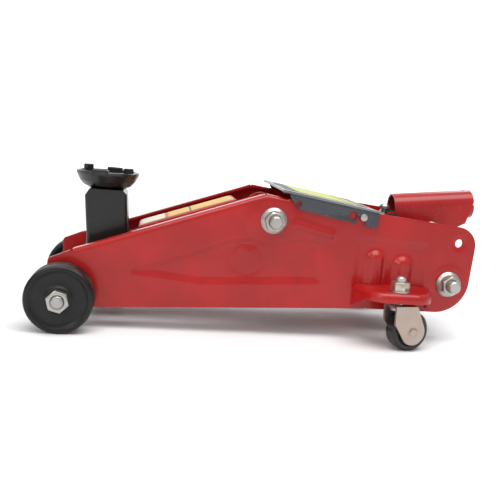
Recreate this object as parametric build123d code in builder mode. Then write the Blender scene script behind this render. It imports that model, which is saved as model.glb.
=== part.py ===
"""Low hydraulic trolley jack, lowered, with its handle taken out.

Frame: +X towards the handle, +Y to the jack's right, +Z up.
Origin: on the ground, under the middle of the jack. All sizes are in millimetres.
"""
import os
from math import atan2, cos, degrees, hypot, pi, radians, sin, tan

from build123d import *

os.makedirs("parts", exist_ok=True)

# ---------------------------------------------------------------- driving dimensions
# Lengths along the jack, and heights above the ground
front_wheel_diameter = 65.0
arm_pivot_from_axle = 200.0
rear_bolt_from_pivot = 185.5
socket_overhang = 42.0  # rear bolt to the rear end of the handle socket
arm_pivot_height = 116.3
rear_bolt_height = 62.8

# Frame
frame_width = 132.0  # over the outer faces of the side plates
plate_thickness = 3.0
flange_width = 11.0  # inturned top edge of a side plate
rib_depth = 4.5
panel_recess = 1.2

# Wheels, axle and fasteners
front_wheel_width = 26.0
wheel_gap = 3.0  # side plate to front wheel
axle_radius = 6.0
bolt_radius = 6.0
nut_across_flats = 18.0
nut_flange_radius = 13.0
nut_height = 12.0
bolt_end_length = 8.0  # thread standing out of a flange nut

# Lifting gear
arm_reach = 152.0  # pivot to saddle-post pin, along X, lowered
arm_drop = 53.3  # the same, along Z
arm_sheet = 4.0
arm_top_height = 17.0  # top face above the line through the arm's two pins
pivot_shaft_radius = 8.0
pivot_tube_radius = 13.0
link_forward = 21.4  # tie-rod stud ahead of the arm pivot
link_drop = 24.4  # tie-rod stud below the arm pivot
post_width = 46.0
post_wall = 4.0
post_pin_radius = 7.0
link_pin_radius = 6.0
lift_angle = 65.0

# Saddle
saddle_radius = 32.0
saddle_rim_height = 149.0
saddle_from_axle = 34.6
saddle_stem_radius = 10.0

# Hydraulic unit
reservoir_radius = 27.0
cylinder_radius = 16.0
cylinder_bore = 12.6
ram_radius = 10.0
crosshead_pin_radius = 6.0
plunger_radius = 6.0
plunger_from_socket_pin = 43.0

# Handle socket
handle_radius = 12.5
handle_clearance = 0.25
socket_wall = 2.5
socket_slope = 6.6  # degrees, rising towards the rear
socket_pin_radius = 5.0
socket_pin_from_rear_bolt = 48.5
socket_pin_height = 119.0
socket_swing = 45.0
roller_below_pin = 5.5

# Rear casters
caster_wheel_radius = 20.0
caster_wheel_width = 16.0
caster_trail = 13.0
caster_from_rear_bolt = 60.5
caster_offset = 29.4  # side plate to king bolt
caster_rest_turn = 14.0  # degrees the casters have swivelled
shelf_top = 58.5
shelf_depth = 10.0
shelf_margin = 12.9  # king bolt to the shelf's outer edge
king_bolt_radius = 5.0

# Clearances
running_clearance = 0.08  # on the radius, between a pin and what turns on it
side_clearance = 0.3  # between faces that slide past each other

# ---------------------------------------------------------------- places worked out from them
front_wheel_radius = front_wheel_diameter / 2
rear_end_from_axle = arm_pivot_from_axle + rear_bolt_from_pivot + socket_overhang
axle_x = -(rear_end_from_axle - front_wheel_radius) / 2
axle_z = front_wheel_radius
pivot_x = axle_x + arm_pivot_from_axle
pivot_z = arm_pivot_height
rear_bolt_x = pivot_x + rear_bolt_from_pivot
rear_bolt_z = rear_bolt_height
rear_end_x = rear_bolt_x + socket_overhang

plate_outer_y = frame_width / 2
plate_inner_y = plate_outer_y - plate_thickness
wheel_inner_y = plate_outer_y + wheel_gap
wheel_outer_y = wheel_inner_y + front_wheel_width
bolt_end_y = plate_outer_y + nut_height + bolt_end_length

post_pin_x = pivot_x - arm_reach
post_pin_z = pivot_z - arm_drop
arm_length = hypot(arm_reach, arm_drop)
arm_slope = atan2(arm_drop, arm_reach)
link_x = pivot_x - link_forward
link_z = pivot_z - link_drop
link_pin_x = post_pin_x - link_forward
link_pin_z = post_pin_z - link_drop
post_side_y = post_width / 2
arm_inner_y = post_side_y + 1.5
arm_outer_y = arm_inner_y + arm_sheet

ram_z = rear_bolt_z
ram_lever = pivot_z - ram_z  # arm pivot to the ram's axis
half_lift = radians(lift_angle / 2)
crosshead_x = pivot_x + ram_lever * tan(half_lift)

saddle_x = axle_x + saddle_from_axle
king_bolt_x = rear_bolt_x - caster_from_rear_bolt
king_bolt_y = plate_outer_y + caster_offset
shelf_outer_y = king_bolt_y + shelf_margin
socket_pin_x = rear_bolt_x - socket_pin_from_rear_bolt
plunger_x = socket_pin_x + plunger_from_socket_pin


# ---------------------------------------------------------------- shapes that several pieces share
def turn_about_y(profile, x, z):
    """Add a ring turned about the line along Y through x, z. The profile lists (radius, y)."""
    with BuildSketch(Plane.XY.offset(z)) as section:
        with BuildLine():
            Polyline([(x + radius, y) for radius, y in profile], close=True)
        make_face()
    revolve(section.sketch, axis=Axis((x, 0, z), (0, 1, 0)))


def turn_about_z(profile, x, y):
    """Add a ring turned about the line along Z through x, y. The profile lists (radius, z)."""
    with BuildSketch(Plane(origin=(x, y, 0), x_dir=(1, 0, 0), z_dir=(0, -1, 0))) as section:
        with BuildLine():
            Polyline([(radius, z) for radius, z in profile], close=True)
        make_face()
    revolve(section.sketch, axis=Axis((x, y, 0), (0, 0, 1)))


def turn_about_x(profile, y, z):
    """Add a ring turned about the line along X through y, z. The profile lists (x, radius)."""
    with BuildSketch(Plane(origin=(0, y, z), x_dir=(1, 0, 0), z_dir=(0, -1, 0))) as section:
        with BuildLine():
            Polyline([(x, radius) for x, radius in profile], close=True)
        make_face()
    revolve(section.sketch, axis=Axis((0, y, z), (1, 0, 0)))


def flange_nut(x, z, side):
    """Add a flanged hexagon nut that seats on the outer face of a side plate."""
    seat = plate_outer_y
    collar = 3.0
    outward = Plane(origin=(x, side * seat, z), x_dir=(1, 0, 0), z_dir=(0, side, 0))
    with BuildSketch(outward) as collar_circle:
        Circle(nut_flange_radius)
        Circle(bolt_radius + 0.02, mode=Mode.SUBTRACT)
    extrude(collar_circle.sketch, amount=collar)
    with BuildSketch(outward) as hexagon:
        RegularPolygon(nut_across_flats / 2, 6, major_radius=False)
        Circle(bolt_radius + 0.02, mode=Mode.SUBTRACT)
    extrude(hexagon.sketch, amount=nut_height)


def mirrored(piece):
    """Add the same piece on the other side of the jack."""
    mirror(piece, about=Plane.XZ)


# ---------------------------------------------------------------- side plates
# Pressed steel, each with an inturned top flange, two ribs and a shelf for its caster.
plate_bottom_front = 19.0
plate_bottom_rear = 33.0
plate_front_x = axle_x - 14.5
plate_front_top = 66.6
flange_start_x = axle_x + 8.0
flange_start_z = 76.3
hump_x = pivot_x - 9.0
hump_z = pivot_z + 25.5
shoulder_x = pivot_x + 13.5
shoulder_z = pivot_z + 22.5
rear_top_x = rear_bolt_x + 25.5
rear_top_z = rear_bolt_z + 57.2
rear_low_x = rear_bolt_x + 20.0
shelf_front_x = king_bolt_x - 40.0
shelf_rear_x = king_bolt_x + 42.0
shelf_wall = 3.0
carry_hole_x = rear_bolt_x + 7.1
carry_hole_z = rear_bolt_z + 42.4
carry_hole_radius = 4.3
rib_foot_z = shelf_top - shelf_wall
ribs = ((king_bolt_x - 18.3, 10.2, 94.6), (king_bolt_x + 10.6, 11.6, 90.7))  # centre, half width, top

outline = (
    (plate_front_x, plate_bottom_front),
    (king_bolt_x - 25.0, plate_bottom_rear),
    (rear_low_x, plate_bottom_rear),
    (rear_top_x, rear_top_z),
    (shoulder_x, shoulder_z),
    (hump_x, hump_z),
    (flange_start_x, flange_start_z),
    (plate_front_x, plate_front_top),
)
corner_radii = (
    ((plate_front_x, plate_bottom_front), 8.0),
    ((rear_low_x, plate_bottom_rear), 34.0),
    ((rear_top_x, rear_top_z), 20.0),
    ((hump_x, hump_z), 12.0),
    ((plate_front_x, plate_front_top), 3.0),
)
recess = (
    (axle_x + 66.0, 59.0),
    (pivot_x - 37.0, pivot_z - 21.5),
    (pivot_x + 22.0, pivot_z - 21.5),
    (pivot_x + 35.0, pivot_z - 16.5),
    (pivot_x + 49.0, pivot_z - 20.5),
    (pivot_x + 49.0, 58.7),
    (axle_x + 132.0, 52.3),
)

with BuildPart() as side_plate_left:
    with BuildSketch(Plane.XZ.offset(plate_inner_y)):
        with BuildLine():
            Polyline(outline, close=True)
        make_face()
        for corner, radius in corner_radii:
            fillet(vertices().sort_by_distance(corner)[0], radius)
        with Locations((pivot_x, pivot_z), (rear_bolt_x, rear_bolt_z), (axle_x, axle_z)):
            Circle(bolt_radius + running_clearance, mode=Mode.SUBTRACT)
        with Locations((carry_hole_x, carry_hole_z)):
            Circle(carry_hole_radius, mode=Mode.SUBTRACT)
    extrude(amount=plate_thickness)
    # inturned flange along the front slope and the hump
    with BuildSketch(Plane.XZ.offset(plate_inner_y)):
        with BuildLine():
            Polyline(
                (flange_start_x, flange_start_z),
                (hump_x, hump_z - 0.8),
                (shoulder_x, shoulder_z),
                (shoulder_x, shoulder_z - plate_thickness),
                (hump_x, hump_z - 0.8 - plate_thickness),
                (flange_start_x, flange_start_z - plate_thickness),
                close=True,
            )
        make_face()
    extrude(amount=-flange_width)
    # shallow pressed panel
    with BuildSketch(Plane.XZ.offset(plate_outer_y)):
        with BuildLine():
            Polyline(recess, close=True)
        make_face()
        fillet(vertices(), 5.0)
    extrude(amount=-panel_recess, mode=Mode.SUBTRACT)
    # caster shelf, open underneath
    with BuildSketch(Plane.XY.offset(shelf_top - shelf_depth)):
        with BuildLine():
            Polyline(
                (shelf_front_x, -plate_outer_y),
                (shelf_front_x + 14.0, -shelf_outer_y),
                (shelf_rear_x - 14.0, -shelf_outer_y),
                (shelf_rear_x, -plate_outer_y),
                close=True,
            )
        make_face()
        fillet(vertices().group_by(Axis.Y)[0], 16.0)
    extrude(amount=shelf_depth)
    shelf_rim = edges(Select.LAST).group_by(Axis.Z)[-1]
    fillet(shelf_rim.filter_by(lambda edge: edge.center().Y < -plate_outer_y - 1), 6.0)
    with BuildSketch(Plane.XY.offset(shelf_top - shelf_depth)):
        with BuildLine():
            Polyline(
                (shelf_front_x + shelf_wall, -plate_outer_y),
                (shelf_front_x + 14.0 + shelf_wall, shelf_wall - shelf_outer_y),
                (shelf_rear_x - 14.0 - shelf_wall, shelf_wall - shelf_outer_y),
                (shelf_rear_x - shelf_wall, -plate_outer_y),
                close=True,
            )
        make_face()
        fillet(vertices().group_by(Axis.Y)[0], 13.0)
    extrude(amount=shelf_depth - shelf_wall, mode=Mode.SUBTRACT)
    # ribs that brace the shelf, drafted as they were pressed
    for rib_x, rib_half_width, rib_top in ribs:
        with BuildSketch(Plane.XZ.offset(plate_outer_y)):
            with Locations((rib_x, (rib_top + rib_foot_z) / 2)):
                SlotOverall(rib_top - rib_foot_z + 16.0, 2 * rib_half_width, rotation=90)
            with Locations((rib_x, rib_foot_z - 20.0)):
                Rectangle(60.0, 40.0, mode=Mode.SUBTRACT)
        extrude(amount=rib_depth, taper=25)
    with BuildSketch(Plane.XY.offset(shelf_top - shelf_depth)):
        with Locations((king_bolt_x, -king_bolt_y)):
            Circle(king_bolt_radius + running_clearance)
    extrude(amount=shelf_depth, mode=Mode.SUBTRACT)
side_plate_left.part.label = "side_plate_left"
export_step(side_plate_left.part, "parts/side_plate_left.step")

with BuildPart() as side_plate_right:
    mirrored(side_plate_left.part)
side_plate_right.part.label = "side_plate_right"
export_step(side_plate_right.part, "parts/side_plate_right.step")

# ---------------------------------------------------------------- front axle
axle_end_y = wheel_outer_y + 9.5
with BuildPart() as front_axle:
    with BuildSketch(Plane.XZ.offset(-axle_end_y)):
        with Locations((axle_x, axle_z)):
            Circle(axle_radius)
    extrude(amount=2 * axle_end_y)
    fillet(edges().filter_by(GeomType.CIRCLE), 1.8)
front_axle.part.label = "front_axle"
export_step(front_axle.part, "parts/front_axle.step")

with BuildPart() as axle_nuts:
    for side in (-1, 1):
        nut_seat = Plane(
            origin=(axle_x, side * (wheel_outer_y + side_clearance), axle_z), z_dir=(0, side, 0)
        )
        with BuildSketch(nut_seat):
            RegularPolygon(9.5, 6, major_radius=False)
            Circle(axle_radius + 0.02, mode=Mode.SUBTRACT)
        extrude(amount=7.0)
axle_nuts.part.label = "axle_nuts"
export_step(axle_nuts.part, "parts/axle_nuts.step")

with BuildPart() as axle_washers:
    for side in (-1, 1):
        with BuildSketch(Plane.XZ.offset(-side * plate_outer_y)):
            with Locations((axle_x, axle_z)):
                Circle(11.0)
                Circle(axle_radius + 0.02, mode=Mode.SUBTRACT)
        extrude(amount=-side * (wheel_gap - side_clearance))
axle_washers.part.label = "axle_washers"
export_step(axle_washers.part, "parts/axle_washers.step")

with BuildPart() as front_spacer_tube:
    with BuildSketch(Plane.XZ.offset(-plate_inner_y)):
        with Locations((axle_x, axle_z)):
            Circle(axle_radius + 3.5)
            Circle(axle_radius + 0.02, mode=Mode.SUBTRACT)
    extrude(amount=2 * plate_inner_y)
front_spacer_tube.part.label = "front_spacer_tube"
export_step(front_spacer_tube.part, "parts/front_spacer_tube.step")

# ---------------------------------------------------------------- front wheels
wheel_bore = axle_radius + running_clearance
hub_radius = 13.0
rim_inner_radius = front_wheel_radius - 5.0
face_recess = 2.0
tread_round = 2.5
wheel_profile = (
    (wheel_bore, wheel_inner_y),
    (hub_radius, wheel_inner_y),
    (hub_radius + 1.5, wheel_inner_y + face_recess),
    (rim_inner_radius, wheel_inner_y + face_recess),
    (rim_inner_radius + 0.8, wheel_inner_y),
    (front_wheel_radius - tread_round, wheel_inner_y),
    (front_wheel_radius - tread_round * 0.3, wheel_inner_y + tread_round * 0.3),
    (front_wheel_radius, wheel_inner_y + tread_round),
    (front_wheel_radius, wheel_outer_y - tread_round),
    (front_wheel_radius - tread_round * 0.3, wheel_outer_y - tread_round * 0.3),
    (front_wheel_radius - tread_round, wheel_outer_y),
    (rim_inner_radius + 0.8, wheel_outer_y),
    (rim_inner_radius, wheel_outer_y - face_recess),
    (hub_radius + 1.5, wheel_outer_y - face_recess),
    (hub_radius, wheel_outer_y),
    (wheel_bore, wheel_outer_y),
)
with BuildPart() as front_wheel_right:
    turn_about_y(wheel_profile, axle_x, axle_z)
front_wheel_right.part.label = "front_wheel_right"
export_step(front_wheel_right.part, "parts/front_wheel_right.step")

with BuildPart() as front_wheel_left:
    mirrored(front_wheel_right.part)
front_wheel_left.part.label = "front_wheel_left"
export_step(front_wheel_left.part, "parts/front_wheel_left.step")

# ---------------------------------------------------------------- arm pivot and rear bolts
with BuildPart() as arm_pivot_shaft:
    turn_about_y(
        (
            (0, -bolt_end_y),
            (bolt_radius - 1, -bolt_end_y),
            (bolt_radius, 1 - bolt_end_y),
            (bolt_radius, -plate_inner_y),
            (pivot_shaft_radius, -plate_inner_y),
            (pivot_shaft_radius, plate_inner_y),
            (bolt_radius, plate_inner_y),
            (bolt_radius, bolt_end_y - 1),
            (bolt_radius - 1, bolt_end_y),
            (0, bolt_end_y),
        ),
        pivot_x,
        pivot_z,
    )
arm_pivot_shaft.part.label = "arm_pivot_shaft"
export_step(arm_pivot_shaft.part, "parts/arm_pivot_shaft.step")

with BuildPart() as flange_nuts:
    for nut_x, nut_z in ((pivot_x, pivot_z), (rear_bolt_x, rear_bolt_z)):
        for side in (-1, 1):
            flange_nut(nut_x, nut_z, side)
flange_nuts.part.label = "flange_nuts"
export_step(flange_nuts.part, "parts/flange_nuts.step")

rear_bolt_inner_y = 40.0
with BuildPart() as rear_bolts:
    turn_about_y(
        (
            (0, rear_bolt_inner_y),
            (bolt_radius, rear_bolt_inner_y),
            (bolt_radius, bolt_end_y - 1),
            (bolt_radius - 1, bolt_end_y),
            (0, bolt_end_y),
        ),
        rear_bolt_x,
        rear_bolt_z,
    )
    mirrored(rear_bolts.part)
rear_bolts.part.label = "rear_bolts"
export_step(rear_bolts.part, "parts/rear_bolts.step")

# ---------------------------------------------------------------- lift arm
# Two cheek plates and a top plate, welded to the pivot tube, with two slotted lugs for the ram.
arm_plane = Plane(
    origin=(pivot_x, 0, pivot_z),
    x_dir=(-cos(arm_slope), 0, -sin(arm_slope)),
    z_dir=(0, 1, 0),
)
arm_tip_radius = 14.0
arm_heel_radius = 20.0
arm_lower_edge = 14.0
post_room = 26.0  # from the post pin to the front edge of the top plate

with BuildPart() as arm_plates:
    with BuildSketch(arm_plane.offset(arm_inner_y)):
        with Locations((arm_length / 2, (arm_top_height - arm_lower_edge) / 2)):
            Rectangle(arm_length, arm_top_height + arm_lower_edge)
        Circle(arm_heel_radius)
        with Locations((arm_length, 0)):
            Circle(arm_tip_radius)
        with Locations((arm_length + 8.0, arm_top_height)):
            Rectangle(16.0, 16.0, align=(Align.MIN, Align.CENTER), mode=Mode.SUBTRACT)
        Circle(pivot_tube_radius, mode=Mode.SUBTRACT)
        with Locations((arm_length, 0)):
            Circle(post_pin_radius, mode=Mode.SUBTRACT)
    extrude(amount=arm_sheet)
    mirrored(arm_plates.part)
arm_plates.part.label = "arm_plates"
export_step(arm_plates.part, "parts/arm_plates.step")

top_plate_start = -8.0
top_plate_end = arm_length - post_room
with BuildPart() as arm_top_plate:
    with BuildSketch(arm_plane.offset(-arm_inner_y)):
        with Locations(((top_plate_start + top_plate_end) / 2, arm_top_height - arm_sheet / 2)):
            Rectangle(top_plate_end - top_plate_start, arm_sheet - 0.4)
    extrude(amount=2 * arm_inner_y)
arm_top_plate.part.label = "arm_top_plate"
export_step(arm_top_plate.part, "parts/arm_top_plate.step")

with BuildPart() as arm_pivot_tube:
    turn_about_y(
        (
            (pivot_shaft_radius + running_clearance, side_clearance - plate_inner_y),
            (pivot_tube_radius, side_clearance - plate_inner_y),
            (pivot_tube_radius, plate_inner_y - side_clearance),
            (pivot_shaft_radius + running_clearance, plate_inner_y - side_clearance),
        ),
        pivot_x,
        pivot_z,
    )
arm_pivot_tube.part.label = "arm_pivot_tube"
export_step(arm_pivot_tube.part, "parts/arm_pivot_tube.step")

lug_inner_y = 14.0
lug_thickness = 6.0
lug_end_radius = 14.0
slot_play = 1.8  # room round the crosshead pin for the constant-ratio ram
lug_far = ram_lever / cos(half_lift)
lug_plane = Plane(
    origin=(pivot_x, 0, pivot_z),
    x_dir=(sin(half_lift), 0, -cos(half_lift)),
    z_dir=(0, 1, 0),
)
with BuildPart() as ram_lugs:
    with BuildSketch(lug_plane.offset(lug_inner_y)):
        Circle(pivot_tube_radius + 4.0)
        with Locations((lug_far, 0)):
            Circle(lug_end_radius)
        make_hull()
        Circle(pivot_tube_radius, mode=Mode.SUBTRACT)
        with Locations((2.0, 0)):
            Rectangle(40.0, 60.0, align=(Align.MAX, Align.CENTER), mode=Mode.SUBTRACT)
        with Locations(((ram_lever + lug_far) / 2, 0)):
            SlotCenterToCenter(
                lug_far - ram_lever + 1.0, 2 * (crosshead_pin_radius + slot_play), mode=Mode.SUBTRACT
            )
    extrude(amount=lug_thickness)
    mirrored(ram_lugs.part)
ram_lugs.part.label = "ram_lugs"
export_step(ram_lugs.part, "parts/ram_lugs.step")

post_pin_end_y = arm_outer_y + 3.0
clip_gap = 0.2
with BuildPart() as post_pin:
    with BuildSketch(Plane.XZ.offset(-post_pin_end_y)):
        with Locations((post_pin_x, post_pin_z)):
            Circle(post_pin_radius)
    extrude(amount=2 * post_pin_end_y)
    chamfer(edges().filter_by(GeomType.CIRCLE), 0.8)
post_pin.part.label = "post_pin"
export_step(post_pin.part, "parts/post_pin.step")

with BuildPart() as post_pin_clips:
    turn_about_y(
        (
            (post_pin_radius, arm_outer_y + clip_gap),
            (post_pin_radius + 3.0, arm_outer_y + clip_gap),
            (post_pin_radius + 3.0, arm_outer_y + clip_gap + 1.2),
            (post_pin_radius, arm_outer_y + clip_gap + 1.2),
        ),
        post_pin_x,
        post_pin_z,
    )
    mirrored(post_pin_clips.part)
post_pin_clips.part.label = "post_pin_clips"
export_step(post_pin_clips.part, "parts/post_pin_clips.step")

# ---------------------------------------------------------------- tie rods
# A rod each side keeps the saddle post upright: stud, rod, post and arm form a parallelogram.
rod_outer_y = plate_inner_y - 15.0
rod_thickness = 4.0
rod_inner_y = rod_outer_y - rod_thickness
rod_eye_radius = 9.5
rod_plane = Plane(
    origin=(link_x, 0, link_z),
    x_dir=(-cos(arm_slope), 0, -sin(arm_slope)),
    z_dir=(0, 1, 0),
)
with BuildPart() as tie_rods:
    with BuildSketch(rod_plane.offset(rod_inner_y)):
        with Locations((arm_length / 2, 0)):
            Rectangle(arm_length, 13.0)
        with Locations((0, 0), (arm_length, 0)):
            Circle(rod_eye_radius)
        with Locations((0, 0), (arm_length, 0)):
            Circle(link_pin_radius + running_clearance, mode=Mode.SUBTRACT)
    extrude(amount=rod_thickness)
    mirrored(tie_rods.part)
tie_rods.part.label = "tie_rods"
export_step(tie_rods.part, "parts/tie_rods.step")

with BuildPart() as tie_rod_studs:
    turn_about_y(
        (
            (0, rod_inner_y - side_clearance - 2.0),
            (link_pin_radius + 2.5, rod_inner_y - side_clearance - 2.0),
            (link_pin_radius + 2.5, rod_inner_y - side_clearance),
            (link_pin_radius, rod_inner_y - side_clearance),
            (link_pin_radius, rod_outer_y + side_clearance),
            (link_pin_radius + 3.0, rod_outer_y + side_clearance),
            (link_pin_radius + 3.0, plate_inner_y),
            (0, plate_inner_y),
        ),
        link_x,
        link_z,
    )
    mirrored(tie_rod_studs.part)
tie_rod_studs.part.label = "tie_rod_studs"
export_step(tie_rod_studs.part, "parts/tie_rod_studs.step")

link_pin_end_y = rod_outer_y + 3.0
with BuildPart() as link_pin:
    with BuildSketch(Plane.XZ.offset(-link_pin_end_y)):
        with Locations((link_pin_x, link_pin_z)):
            Circle(link_pin_radius)
    extrude(amount=2 * link_pin_end_y)
    chamfer(edges().filter_by(GeomType.CIRCLE), 0.8)
link_pin.part.label = "link_pin"
export_step(link_pin.part, "parts/link_pin.step")

with BuildPart() as link_pin_clips:
    turn_about_y(
        (
            (link_pin_radius, rod_outer_y + side_clearance),
            (link_pin_radius + 3.0, rod_outer_y + side_clearance),
            (link_pin_radius + 3.0, rod_outer_y + side_clearance + 1.2),
            (link_pin_radius, rod_outer_y + side_clearance + 1.2),
        ),
        link_pin_x,
        link_pin_z,
    )
    mirrored(link_pin_clips.part)
link_pin_clips.part.label = "link_pin_clips"
export_step(link_pin_clips.part, "parts/link_pin_clips.step")

# ---------------------------------------------------------------- saddle post
# Folded steel box, open below, with a thick head bored for the saddle's stem.
post_top = saddle_rim_height - 17.5
post_head = 12.0
post_bottom = link_pin_z - 10.5
post_front_low_x = link_pin_x - 9.5
post_front_top_x = saddle_x - 20.9
post_rear_top_x = saddle_x + 20.9
post_rear_low_x = post_pin_x + 11.0
post_bend_z = 85.0
with BuildPart() as saddle_post:
    with BuildSketch(Plane.XZ.offset(-post_side_y)):
        with BuildLine():
            Polyline(
                (post_front_low_x, post_bottom),
                (post_rear_low_x - 6.0, post_bottom),
                (post_rear_low_x, post_bottom + 12.0),
                (post_rear_low_x, post_bend_z),
                (post_rear_top_x, post_top - 4.0),
                (post_rear_top_x - 4.0, post_top),
                (post_front_top_x + 4.5, post_top),
                (post_front_top_x, post_top - 7.0),
                (post_front_low_x, post_bend_z),
                close=True,
            )
        make_face()
    extrude(amount=2 * post_side_y)
    upright = edges().filter_by(lambda edge: abs(edge.center().Y) > post_side_y - 0.1)
    fillet(upright.filter_by(lambda edge: edge.length > 40 and edge.center().Z > 50), 3.5)
    with BuildSketch(Plane.XZ.offset(post_wall - post_side_y)):
        with BuildLine():
            Polyline(
                (post_front_low_x + post_wall, post_bottom),
                (post_rear_low_x - 6.0 - post_wall, post_bottom),
                (post_rear_low_x - post_wall, post_bottom + 12.0),
                (post_rear_low_x - post_wall, post_bend_z),
                (post_rear_top_x - post_wall, post_top - post_head),
                (post_front_top_x + post_wall, post_top - post_head),
                (post_front_low_x + post_wall, post_bend_z),
                close=True,
            )
        make_face()
    extrude(amount=2 * (post_side_y - post_wall), mode=Mode.SUBTRACT)
    with BuildSketch(Plane.XZ.offset(-post_side_y)):
        with Locations((post_pin_x, post_pin_z)):
            Circle(post_pin_radius + running_clearance)
        with Locations((link_pin_x, link_pin_z)):
            Circle(link_pin_radius)
    extrude(amount=2 * post_side_y, mode=Mode.SUBTRACT)
    with BuildSketch(Plane.XY.offset(post_top - post_head)):
        with Locations((saddle_x, 0)):
            Circle(saddle_stem_radius + running_clearance)
    extrude(amount=post_head, mode=Mode.SUBTRACT)
saddle_post.part.label = "saddle_post"
export_step(saddle_post.part, "parts/saddle_post.step")

# ---------------------------------------------------------------- saddle
saddle_floor = saddle_rim_height - 11.5
saddle_base = post_top + side_clearance
stem_end = post_top - post_head - 4.0
lugs = ((78.0, 16.0, 2.6), (258.0, 16.0, 2.6), (138.0, 9.0, 5.0), (318.0, 9.0, 5.0))  # angle, width, height
with BuildPart() as saddle:
    turn_about_z(
        (
            (0, stem_end),
            (saddle_stem_radius, stem_end),
            (saddle_stem_radius, saddle_base),
            (19.0, saddle_base),
            (24.5, saddle_base + 3.0),
            (28.0, saddle_base + 7.0),
            (saddle_radius - 0.4, saddle_rim_height - 3.0),
            (saddle_radius, saddle_rim_height - 1.0),
            (saddle_radius - 1.0, saddle_rim_height),
            (saddle_radius - 4.0, saddle_rim_height),
            (saddle_radius - 6.5, saddle_rim_height - 5.0),
            (18.5, saddle_floor),
            (0, saddle_floor),
        ),
        saddle_x,
        0,
    )
    for angle, width, height in lugs:
        lug_frame = Plane(origin=(saddle_x, 0, saddle_rim_height - 4.0)).rotated((0, 0, angle))
        with BuildSketch(lug_frame):
            with Locations((saddle_radius - 3.4, 0)):
                Rectangle(5.2, width)
        extrude(amount=4.0 + height)
        lug_rim = edges(Select.LAST).group_by(Axis.Z)[-1]
        fillet(lug_rim, 1.2)
saddle.part.label = "saddle"
export_step(saddle.part, "parts/saddle.step")

with BuildPart() as saddle_clip:
    turn_about_z(
        (
            (saddle_stem_radius, stem_end + 1.0),
            (saddle_stem_radius + 3.0, stem_end + 1.0),
            (saddle_stem_radius + 3.0, stem_end + 2.4),
            (saddle_stem_radius, stem_end + 2.4),
        ),
        saddle_x,
        0,
    )
saddle_clip.part.label = "saddle_clip"
export_step(saddle_clip.part, "parts/saddle_clip.step")

# ---------------------------------------------------------------- cover plate
# Thin sheet over the hydraulic unit, with a turned-down side outside each plate.
cover_sheet = 2.0
cover_front_x = pivot_x + 7.0
cover_rear_x = pivot_x + 106.0
cover_front_z = pivot_z + 31.2
cover_rear_z = pivot_z + 16.0
cover_inner_y = plate_outer_y + 0.2
cover_outer_y = cover_inner_y + cover_sheet
cover_screw_x = pivot_x + 89.6
cover_screw_z = pivot_z + 9.2
cover_screw_radius = 2.4
with BuildPart() as cover_plate:
    with BuildSketch(Plane.XZ.offset(-cover_outer_y)):
        with BuildLine():
            Polyline(
                (cover_front_x, cover_front_z),
                (cover_rear_x, cover_rear_z),
                (cover_rear_x, cover_rear_z - cover_sheet),
                (cover_front_x, cover_front_z - cover_sheet),
                close=True,
            )
        make_face()
    extrude(amount=2 * cover_outer_y)
    for side in (-1, 1):
        with BuildSketch(Plane.XZ.offset(-side * cover_inner_y)):
            with BuildLine():
                Polyline(
                    (pivot_x + 15.0, cover_front_z - 2.2),
                    (cover_rear_x, cover_rear_z - 1.0),
                    (cover_rear_x - 3.0, cover_rear_z - 17.0),
                    (cover_rear_x - 14.4, cover_rear_z - 14.6),
                    (cover_rear_x - 15.2, cover_rear_z - 6.5),
                    (cover_rear_x - 23.0, cover_rear_z - 6.0),
                    (cover_rear_x - 24.0, cover_rear_z - 13.4),
                    (pivot_x + 26.5, pivot_z + 12.6),
                    (pivot_x + 22.0, pivot_z + 14.6),
                    (pivot_x + 14.0, pivot_z + 24.5),
                    close=True,
                )
            make_face()
            with Locations((pivot_x + 23.2, pivot_z + 18.6)):
                Circle(2.7, mode=Mode.SUBTRACT)
            with Locations((cover_screw_x, cover_screw_z)):
                Circle(cover_screw_radius + 0.2, mode=Mode.SUBTRACT)
        extrude(amount=-side * cover_sheet)
cover_plate.part.label = "cover_plate"
export_step(cover_plate.part, "parts/cover_plate.step")

with BuildPart() as cover_screws:
    turn_about_y(
        (
            (0, cover_inner_y),
            (cover_screw_radius, cover_inner_y),
            (cover_screw_radius, cover_outer_y),
            (3.9, cover_outer_y),
            (3.4, cover_outer_y + 1.6),
            (1.8, cover_outer_y + 2.2),
            (0, cover_outer_y + 2.3),
        ),
        cover_screw_x,
        cover_screw_z,
    )
    mirrored(cover_screws.part)
cover_screws.part.label = "cover_screws"
export_step(cover_screws.part, "parts/cover_screws.step")

# ---------------------------------------------------------------- hydraulic unit
casting_front_x = rear_bolt_x - 63.5
casting_rear_x = rear_bolt_x + 18.5
casting_side_y = 28.0
casting_bottom = ram_z - reservoir_radius - 0.5
casting_top = ram_z + 29.2
trunnion_radius = 17.0
barrel_radius = 9.0
barrel_bottom = casting_bottom + 8.0
barrel_top = casting_top + 6.0
lug_side_y = handle_radius + handle_clearance - 0.5
pivot_lug_radius = 11.0
valve_z = ram_z + 15.2
valve_bore_x = plunger_x + barrel_radius + 3.0
valve_radius = 5.0
spring_y = reservoir_radius + 9.0
spring_anchor_x = rear_bolt_x - 35.5
spring_anchor_radius = 4.0
cylinder_rear_x = casting_front_x + 30.0
cap_front_x = crosshead_x + 24.0
cap_thickness = 6.0
relief_x = plunger_x - 18.0
relief_z = casting_top - 12.0
relief_radius = 5.0
cap_plug_x = socket_pin_x - 6.0

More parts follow.
